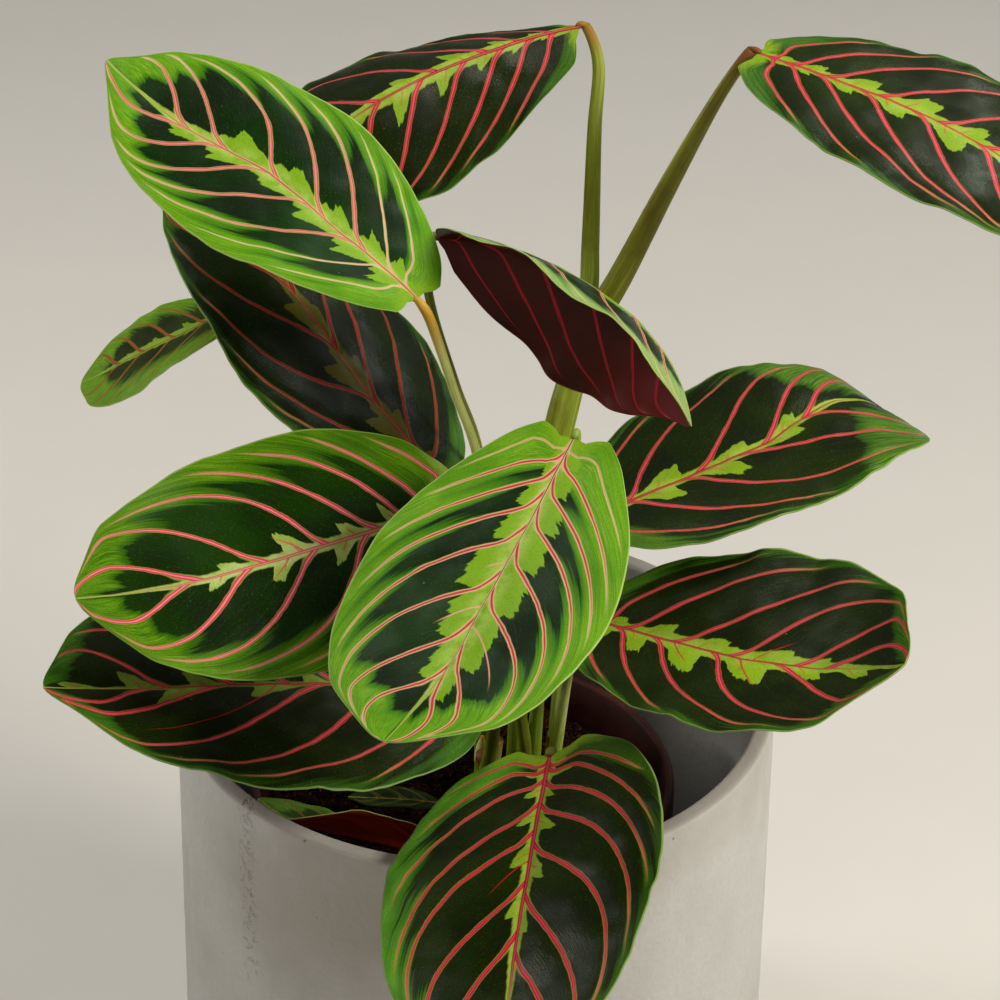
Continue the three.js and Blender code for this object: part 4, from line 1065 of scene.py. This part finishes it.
shoots = {
    "shoot_main": [
        {"flat": 0.72, "tone": "stem",
         "points": [(9.5, 9, 79.8), (9.5, 9, 97), (11, 10, 130), (15, 16, 165), (19, 23, 186),
                    (24, 33, 202)], "radii": [2.4, 2.3, 2.3, 3.0, 3.6, 2.9]},
        {"carries": "leaf_top_middle", "flat": 0.8, "tone": "brown",
         "points": [(20.5, 27, 192), (24.6, 38, 208), (25.2, 47, 219), (25.8, 62, 240), (26.6, 72.5, 252)],
         "radii": [2.4, 2.3, 2.1, 1.7, 1.45, 1.35, 1.15]},
        {"carries": "leaf_top_right", "flat": 0.62, "across": (0.9, 0, -0.4), "tone": "sheath",
         "points": [(21, 28, 194), (27, 35, 206), (32.8, 38, 216.5), (43.4, 43, 238), (53.5, 47.2, 257)],
         "radii": [2.8, 3.1, 2.9, 2.3, 1.6, 1.45, 1.2]},
    ],
    "shoot_left": [
        {"tone": "sheath", "points": [(2, 16, 79.8), (2, 16, 97), (2.4, 15.6, 108)],
         "radii": [2.5, 2.4, 2.2]},
        {"carries": "leaf_top_left", "flat": 0.9, "tone": "fresh",
         "points": [(2.6, 15.4, 100), (4, 11, 122), (3.5, 4, 155), (0, -3.3, 190), (-5.5, -2.9, 208),
                    (-10.6, -2.6, 225)], "radii": [1.8, 1.5, 1.3, 1.15, 1.1, 1.25, 1.3, 1.1]},
        {"carries": "leaf_folded", "flat": 0.9, "tone": "olive",
         "points": [(3, 17.4, 100), (3.4, 19.5, 138), (0.2, 17, 178), (-5.6, 20.5, 196), (-11, 24.6, 213),
                    (-13, 28.6, 224)], "radii": [1.7, 1.3, 1.2, 1.1, 1.05, 1.2, 1.2, 1.05]},
        {"carries": "leaf_shaded", "flat": 0.9, "tone": "olive",
         "points": [(1.4, 15, 100), (-1.6, 13, 135), (-5.6, 8, 165)], "radii": [1.7, 1.4, 1.25, 1.25, 1.1]},
        {"carries": "leaf_young", "flat": 0.9, "across": (0, 1, 0), "tone": "fresh",
         "points": [(1, 16.8, 100), (-12, 26, 130), (-34, 40, 165), (-49, 50.4, 190.5)],
         "radii": [1.6, 1.2, 1, 0.95, 0.95, 0.85]},
    ],
    "shoot_front": [
        {"tone": "sheath", "points": [(13.5, 5.5, 79.8), (13.5, 5.5, 97), (13.4, 5, 104)],
         "radii": [2.1, 2.1, 1.8]},
        {"carries": "leaf_front", "flat": 0.9, "tone": "pale",
         "points": [(13.6, 4.8, 98), (15, 0, 130), (18.6, -11, 168), (21, -20, 200)],
         "radii": [1.8, 1.5, 1.35, 1.3, 0.9, 0.7]},
        {"carries": "leaf_left", "flat": 0.9, "tone": "olive",
         "points": [(13, 5, 98), (8, -3.4, 135), (2.6, -9, 168), (-1.2, -12, 180.5)],
         "radii": [1.7, 1.4, 1.3, 1.3, 1.3, 1.15]},
        {"carries": "leaf_hanging", "flat": 0.9, "tone": "olive",
         "points": [(13.6, 4.6, 98), (14.6, -10, 108), (16.2, -29, 123), (17, -40, 134)],
         "radii": [1.7, 1.5, 1.35, 1.35, 1.3, 1.15]},
    ],
    "shoot_right": [
        {"tone": "sheath", "points": [(18.5, 12.5, 79.8), (18.5, 12.5, 97), (18.8, 11.9, 104)],
         "radii": [2.1, 2.1, 1.9]},
        {"carries": "leaf_right", "flat": 0.9, "tone": "fresh",
         "points": [(18.6, 12, 98), (20, 10.6, 125), (22.6, 8.6, 150), (24, 7.3, 162)],
         "radii": [1.7, 1.4, 1.3, 1.3, 1.3, 1.15]},
        {"carries": "leaf_low_right", "flat": 0.9, "tone": "fresh",
         "points": [(18.8, 11.6, 98), (21, 3, 125), (22.6, -6, 141), (23.6, -10, 149.5)],
         "radii": [1.7, 1.4, 1.3, 1.3, 1.3, 1.15]},
    ],
    "shoot_low": [
        {"tone": "sheath", "points": [(2, 4, 79.8), (2, 4, 97), (2.1, 3.6, 104)], "radii": [2.4, 2.4, 2]},
        {"carries": "leaf_low_left", "flat": 0.9, "tone": "olive",
         "points": [(2.4, 3.4, 98.5), (3.6, -6, 112), (4.4, -15, 127), (3.6, -20.6, 136.5)],
         "radii": [1.8, 1.6, 1.45, 1.4, 1.35, 1.15]},
        {"tone": "cut", "points": [(3.2, 3.8, 98), (4.5, 2.9, 103), (5.1, 2.2, 109)],
         "radii": [1.6, 1.5, 1.5]},
        {"tone": "fresh", "points": [(1.6, 5, 98), (1.2, 6.4, 102), (1.5, 7.1, 106.5)],
         "radii": [1.6, 1.5, 0.5]},
        {"carries": "leaf_tucked", "across": (0, 0, 1), "tone": "olive",
         "points": [(1.6, 2, 98.8), (0.8, -14, 100.8), (0.4, -29, 103), (-2.2, -36.8, 103.9)],
         "radii": [1.4, 1, 0.9, 0.9, 0.9, 0.8]},
        {"carries": "leaf_newest", "across": (0, 0, 1), "tone": "olive",
         "points": [(1.4, 3, 98.8), (-1, -6, 101), (-3.6, -12, 101.6)], "radii": [1.3, 0.9, 0.8, 0.8, 0.7]},
    ],
}

stalkTones = {  # at the foot, along the length and at the joint
    "sheath": ("#86a01e", "#888a1e", "#7a4c1a"),
    "stem": ("#7f9c1e", "#84981c", "#80881e"),
    "olive": ("#86a028", "#7c861e", "#7c7c2a"),
    "brown": ("#8ca42c", "#86961a", "#9a7426"),
    "pale": ("#86ac28", "#9cbc44", "#93b04a"),
    # this tone's length colour is painted paler: partly the young stalks' own pale green, partly painted
    # light
    "fresh": ("#a8cc3c", "#e2f08e", "#d8ac44"),
    "cut": ("#8aa028", "#a8a050", "#a07a3c"),
}


def stalkMaterial(tone):
    p, w = stalkForm, Paint("stalk_" + tone)
    foot, length, joint = stalkTones[tone]
    place = w.place()
    along, around = (w.split(w.attribute(key))[0] for key in ("along", "around"))
    fibre = w.noise(w.vector(around * 16.0, along * 5.0), 1.0, 3, 0.6)
    colour = w.mix(w.ramp(along, 0.0, 0.35), foot, length)
    colour = w.mix(w.ramp(fibre, 0.5, 0.75, 0, 0.55), colour, p["fibrePale"])
    colour = w.mix(w.ramp(fibre, 0.48, 0.3, 0, 0.5), colour, p["fibreDark"])
    colour = w.mix(w.ramp(w.noise(place, 120, 3), 0.5, 0.75, 0, 0.35), colour, p["patch"])
    colour = w.mix(w.ramp(along, 0.86, 0.96), colour, joint)
    relief = w.bump(fibre + w.noise(place, 2200, 1) * 0.4, 0.5, p["relief"] * mm)
    return w.finish(colour, w.ramp(fibre, 0.3, 0.7, *p["rough"]), relief, p["shine"])


def stalkShaper():
    # sweeps an oval along a line of points, reading thick and across from the points
    t = Shaper("sweptStalk", "Line", {"Sides": "Int", "Flat": "Float", "Step": "Float"}, "Stalk")
    curve = t.add("GeometryNodeMeshToCurve", {"Mesh": t.given["Line"]})
    bent = t.add("GeometryNodeCurveSplineType", {"Curve": curve}, spline_type="CATMULL_ROM")
    even = t.add("GeometryNodeResampleCurve", {"Curve": bent, "Length": t.given["Step"]}, mode="LENGTH")
    thick = t.add("GeometryNodeInputNamedAttribute", {"Name": "thick"})
    across = t.add("GeometryNodeInputNamedAttribute", {"Name": "across"}, data_type="FLOAT_VECTOR")
    aimed = t.add("GeometryNodeSetCurveNormal",
                  {"Curve": even, "Normal": across.outputs["Attribute"]}, mode="FREE")
    far = t.add("GeometryNodeSplineParameter").outputs["Factor"]
    along = t.add("GeometryNodeStoreNamedAttribute", {"Geometry": aimed, "Name": "along", "Value": far})
    ring = t.add("GeometryNodeCurvePrimitiveCircle", {"Radius": 1.0, "Resolution": t.given["Sides"]})
    around = t.add("GeometryNodeStoreNamedAttribute", {"Geometry": ring, "Name": "around", "Value": far})
    squash = t.add("ShaderNodeCombineXYZ", {"X": 1.0, "Y": t.given["Flat"], "Z": 1.0})
    oval = t.add("GeometryNodeTransform", {"Geometry": around, "Scale": squash})
    swept = t.add("GeometryNodeCurveToMesh", {"Curve": along, "Profile Curve": oval, "Fill Caps": True,
                                              "Scale": thick.outputs["Attribute"]})
    return t.end(swept)


def stalkPoints(stalk):
    points = [np.array(p, float) for p in stalk["points"]]
    if "carries" in stalk:
        # the joint runs on in line with the midrib where the blade starts
        leaf = leaves[stalk["carries"]]
        along, right, up = leafAxes(leaf)
        lift, turn = math.radians(leaf["bend"]) / 2, -math.radians(leaf["sway"]) / 2
        tangent = math.cos(lift) * (math.cos(turn) * along + math.sin(turn) * right) + math.sin(lift) * up
        for back in (stalkForm["jointGap"] + stalkForm["jointLength"], stalkForm["jointGap"]):
            points.append(np.array(leaf["base"], float) - tangent * back)
    return points


def sweptStalk(shaper, stalk, skin):
    # one stalk as a plain mesh
    points = stalkPoints(stalk)
    mesh = bpy.data.meshes.new("stalkLine")
    mesh.from_pydata([tuple(p * mm) for p in points], [(k, k + 1) for k in range(len(points) - 1)], [])
    thick = mesh.attributes.new("thick", "FLOAT", "POINT")
    thick.data.foreach_set("value", [r * mm for r in stalk["radii"]])
    across = mesh.attributes.new("across", "FLOAT_VECTOR", "POINT")
    across.data.foreach_set("vector", list(stalk.get("across", (1, 0, 0))) * len(points))
    line = bpy.data.objects.new("stalkLine", mesh)
    bpy.context.scene.collection.objects.link(line)
    shaper.fit(line, {"Sides": stalkForm["sides"], "Flat": float(stalk.get("flat", 1)),
                      "Step": stalkForm["step"] * mm, "Skin": skin})
    made = plainMesh(line)
    bpy.data.objects.remove(line)
    return made


def buildShoots():
    shaper = stalkShaper()
    skins = {tone: stalkMaterial(tone) for tone in stalkTones}
    for name, stalks in shoots.items():
        vertices, faces, slots, materials = [], [], [], []
        shares = {"along": [], "around": []}
        for stalk in stalks:
            skin = skins[stalk["tone"]]
            mesh = sweptStalk(shaper, stalk, skin)
            if skin not in materials:
                materials.append(skin)
            first = len(vertices)
            vertices += [v.co.copy() for v in mesh.vertices]
            faces += [[first + k for k in polygon.vertices] for polygon in mesh.polygons]
            slots += [materials.index(skin)] * len(mesh.polygons)
            for key in shares:
                shares[key] += [item.value for item in mesh.attributes[key].data]
        piece = newPiece(name.replace("shoot_", "stalks_"), vertices, faces, materials)
        piece.data.polygons.foreach_set("material_index", slots)
        for key in shares:
            piece.data.attributes.new(key, "FLOAT", "POINT").data.foreach_set("value", shares[key])
        dress(piece, "stalk", name)


buildShoots()
print("stalks built")


# The peat in the nursery pot: one plug, with loose crumbs, clods and slivers scattered on its top.
# long and thick are a lump's least and most stretch, and keep is how near the wall it may lie.
soil = {
    "top": 94.5, "low": 10.9, "sunkEdge": 1.2, "rings": 46, "sides": 150, "groundRings": 13,
    "groundSides": 60, "dark": "#100804", "brown": "#22120a", "red": "#622a16", "pale": "#7c4a28",
    "rough": (0.75, 0.95), "shine": 0.05, "relief": 0.6,
    "lumps": {
        "soilCrumbs": {"amount": 5000, "sizes": (0.35, 1.35), "long": (0.8, 1.4), "thick": (0.6, 1.0),
                       "facets": (6, 4), "redness": 0.75, "keep": 0.93, "seed": 4},
        "soilClods": {"amount": 330, "sizes": (1.2, 2.6), "long": (0.8, 1.3), "thick": (0.7, 1.0),
                      "facets": (8, 5), "redness": 0.6, "keep": 0.93, "seed": 24},
        "soilSlivers": {"amount": 260, "sizes": (0.5, 1.1), "long": (2.6, 5.0), "thick": (0.25, 0.5),
                        "facets": (6, 4), "redness": 0.9, "keep": 0.86, "seed": 44},
    },
}


def soilMaterial(name, redness):
    w = Paint(name)
    place = w.place()
    clod = w.noise(place, 240, 4, 0.65)
    grain = w.noise(place, 1400, 3, 0.7)
    tone = w.mix(w.ramp(clod, 0.38, 0.62), soil["dark"], soil["brown"])
    tone = w.mix(w.ramp(grain, 0.52, 0.72, 0, redness), tone, soil["red"])
    tone = w.mix(w.ramp(w.noise(place, 700, 1), 0.66, 0.76, 0, 0.5), tone, soil["pale"])
    relief = w.bump(clod + grain * 0.5, 0.9, soil["relief"] * mm)
    return w.finish(tone, w.ramp(grain, 0.3, 0.7, *soil["rough"]), relief, soil["shine"])


def soilHeight(x, y):
    # the height of the soil's lumpy top
    lump = noise.noise(Vector((x * 0.06, y * 0.06, 3.1))) * 1.6
    clod = noise.noise(Vector((x * 0.3, y * 0.3, 9.4))) * 1.1
    fine = noise.noise(Vector((x * 0.9, y * 0.9, 1.7))) * 0.45
    return soil["top"] + lump + clod + fine - 0.6


def soilReach(z):
    # how far the soil reaches from the nursery pot's axis, a little short of the wall
    p = nurseryPot
    share = (z - p["low"]) / (p["rimZ"] - p["lipDepth"] - p["low"])
    return p["bottomRadius"] + (p["topRadius"] - p["bottomRadius"]) * share - p["wall"] - 0.5


def soilRing(radius, sides, turn=0.0, height=None, lift=0.0):
    # a ring of points about the nursery pot's axis, level at height or else on the soil's top
    cx, cy = nurseryPot["centre"]
    ring = []
    for i in range(sides):
        x, y = ringPoint((i + turn) / sides, radius)
        z = soilHeight(cx + x, cy + y) + lift if height is None else height
        ring.append(Vector((cx + x, cy + y, z)) * mm)
    return ring


def buildPlug():
    sides, rings = soil["sides"], soil["rings"]
    cx, cy = nurseryPot["centre"]
    levels = [soil["low"], *np.linspace(20, 90, 8)]
    vertices = [Vector((cx, cy, soil["low"])) * mm]
    for z in levels:
        vertices += soilRing(soilReach(z), sides, height=z)
    for k in range(rings):
        radius = soilReach(soil["top"]) * (1 - k / rings)
        vertices += soilRing(radius, sides, turn=0.5 * (k % 2), lift=0 if k else -soil["sunkEdge"])
    middle = len(vertices)
    vertices.append(Vector((cx, cy, soilHeight(cx, cy))) * mm)
    around = [(i, (i + 1) % sides) for i in range(sides)]
    faces = [(0, 1 + j, 1 + i) for i, j in around]
    for low in range(1, middle - sides, sides):
        faces += [(low + i, low + j, low + sides + j, low + sides + i) for i, j in around]
    faces += [(middle - sides + i, middle - sides + j, middle) for i, j in around]
    dress(newPiece("soilPlug", vertices, faces, [soilMaterial("peat", 0.5)]), "soil", "soil")


def lumpShaper(lump):
    # scatters kneaded balls on the ground, each turned, sized and stretched by its own fixed seed
    sizes = {"Density": "Float", "Smallest": "Float", "Largest": "Float"}
    t = Shaper("scatteredLumps", "Ground", sizes, "Lumps")
    seed, (short, long), (thin, thick) = lump["seed"], lump["long"], lump["thick"]
    spread = t.add("GeometryNodeDistributePointsOnFaces",
                   {"Mesh": t.given["Ground"], "Density": t.given["Density"], "Seed": seed})
    ball = t.add("GeometryNodeMeshUVSphere",
                 {"Radius": 1.0, "Segments": lump["facets"][0], "Rings": lump["facets"][1]})
    spot = t.add("GeometryNodeInputPosition")
    rough = t.add("ShaderNodeTexNoise", {"Vector": spot, "Scale": 1.6, "Detail": 2.0})
    shift = t.add("ShaderNodeVectorMath",
                  {0: rough.outputs["Color"], 1: (0.5, 0.5, 0.5)}, operation="SUBTRACT")
    push = t.add("ShaderNodeVectorMath", {0: shift, "Scale": 1.5}, operation="SCALE")
    knead = t.add("GeometryNodeSetPosition", {"Geometry": ball, "Offset": push})
    turn = t.add("FunctionNodeRandomValue", {0: (0, 0, 0), 1: (6.28, 6.28, 6.28), "Seed": seed + 1},
                 data_type="FLOAT_VECTOR")
    size = t.add("FunctionNodeRandomValue",
                 {2: t.given["Smallest"], 3: t.given["Largest"], "Seed": seed + 2}, data_type="FLOAT")
    drawn = t.add("FunctionNodeRandomValue",
                  {0: (short, thin, thin), 1: (long, thick, thick), "Seed": seed + 3},
                  data_type="FLOAT_VECTOR")
    whole = t.add("ShaderNodeVectorMath", {0: drawn, "Scale": size.outputs[1]}, operation="SCALE")
    placed = t.add("GeometryNodeInstanceOnPoints",
                   {"Points": spread, "Instance": knead, "Rotation": turn, "Scale": whole})
    return t.end(placed)


def buildLumps(name, lump):
    # the ground they lie on is a copy of the soil's top, kept a little inside the pot
    steps, sides, reach = soil["groundRings"], soil["groundSides"], soilReach(soil["top"])
    points, shell = [], []
    for k in range(steps + 1):
        points += soilRing(reach * lump["keep"] * k / steps, sides, lift=0.1)
    for k in range(0, steps * sides, sides):
        for i in range(sides):
            j = (i + 1) % sides
            shell.append((k + i, k + sides + i, k + sides + j, k + j))
    ground = newPiece(name, points, shell, [])
    lumpShaper(lump).fit(ground, {
        "Density": lump["amount"] / (math.pi * (reach * mm) ** 2),
        "Smallest": lump["sizes"][0] * mm, "Largest": lump["sizes"][1] * mm,
        "Skin": soilMaterial(name + "Skin", lump["redness"])})
    settle(ground)
    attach(ground, "root")


buildPlug()
for name, lump in soil["lumps"].items():
    buildLumps(name, lump)
print("soil built")
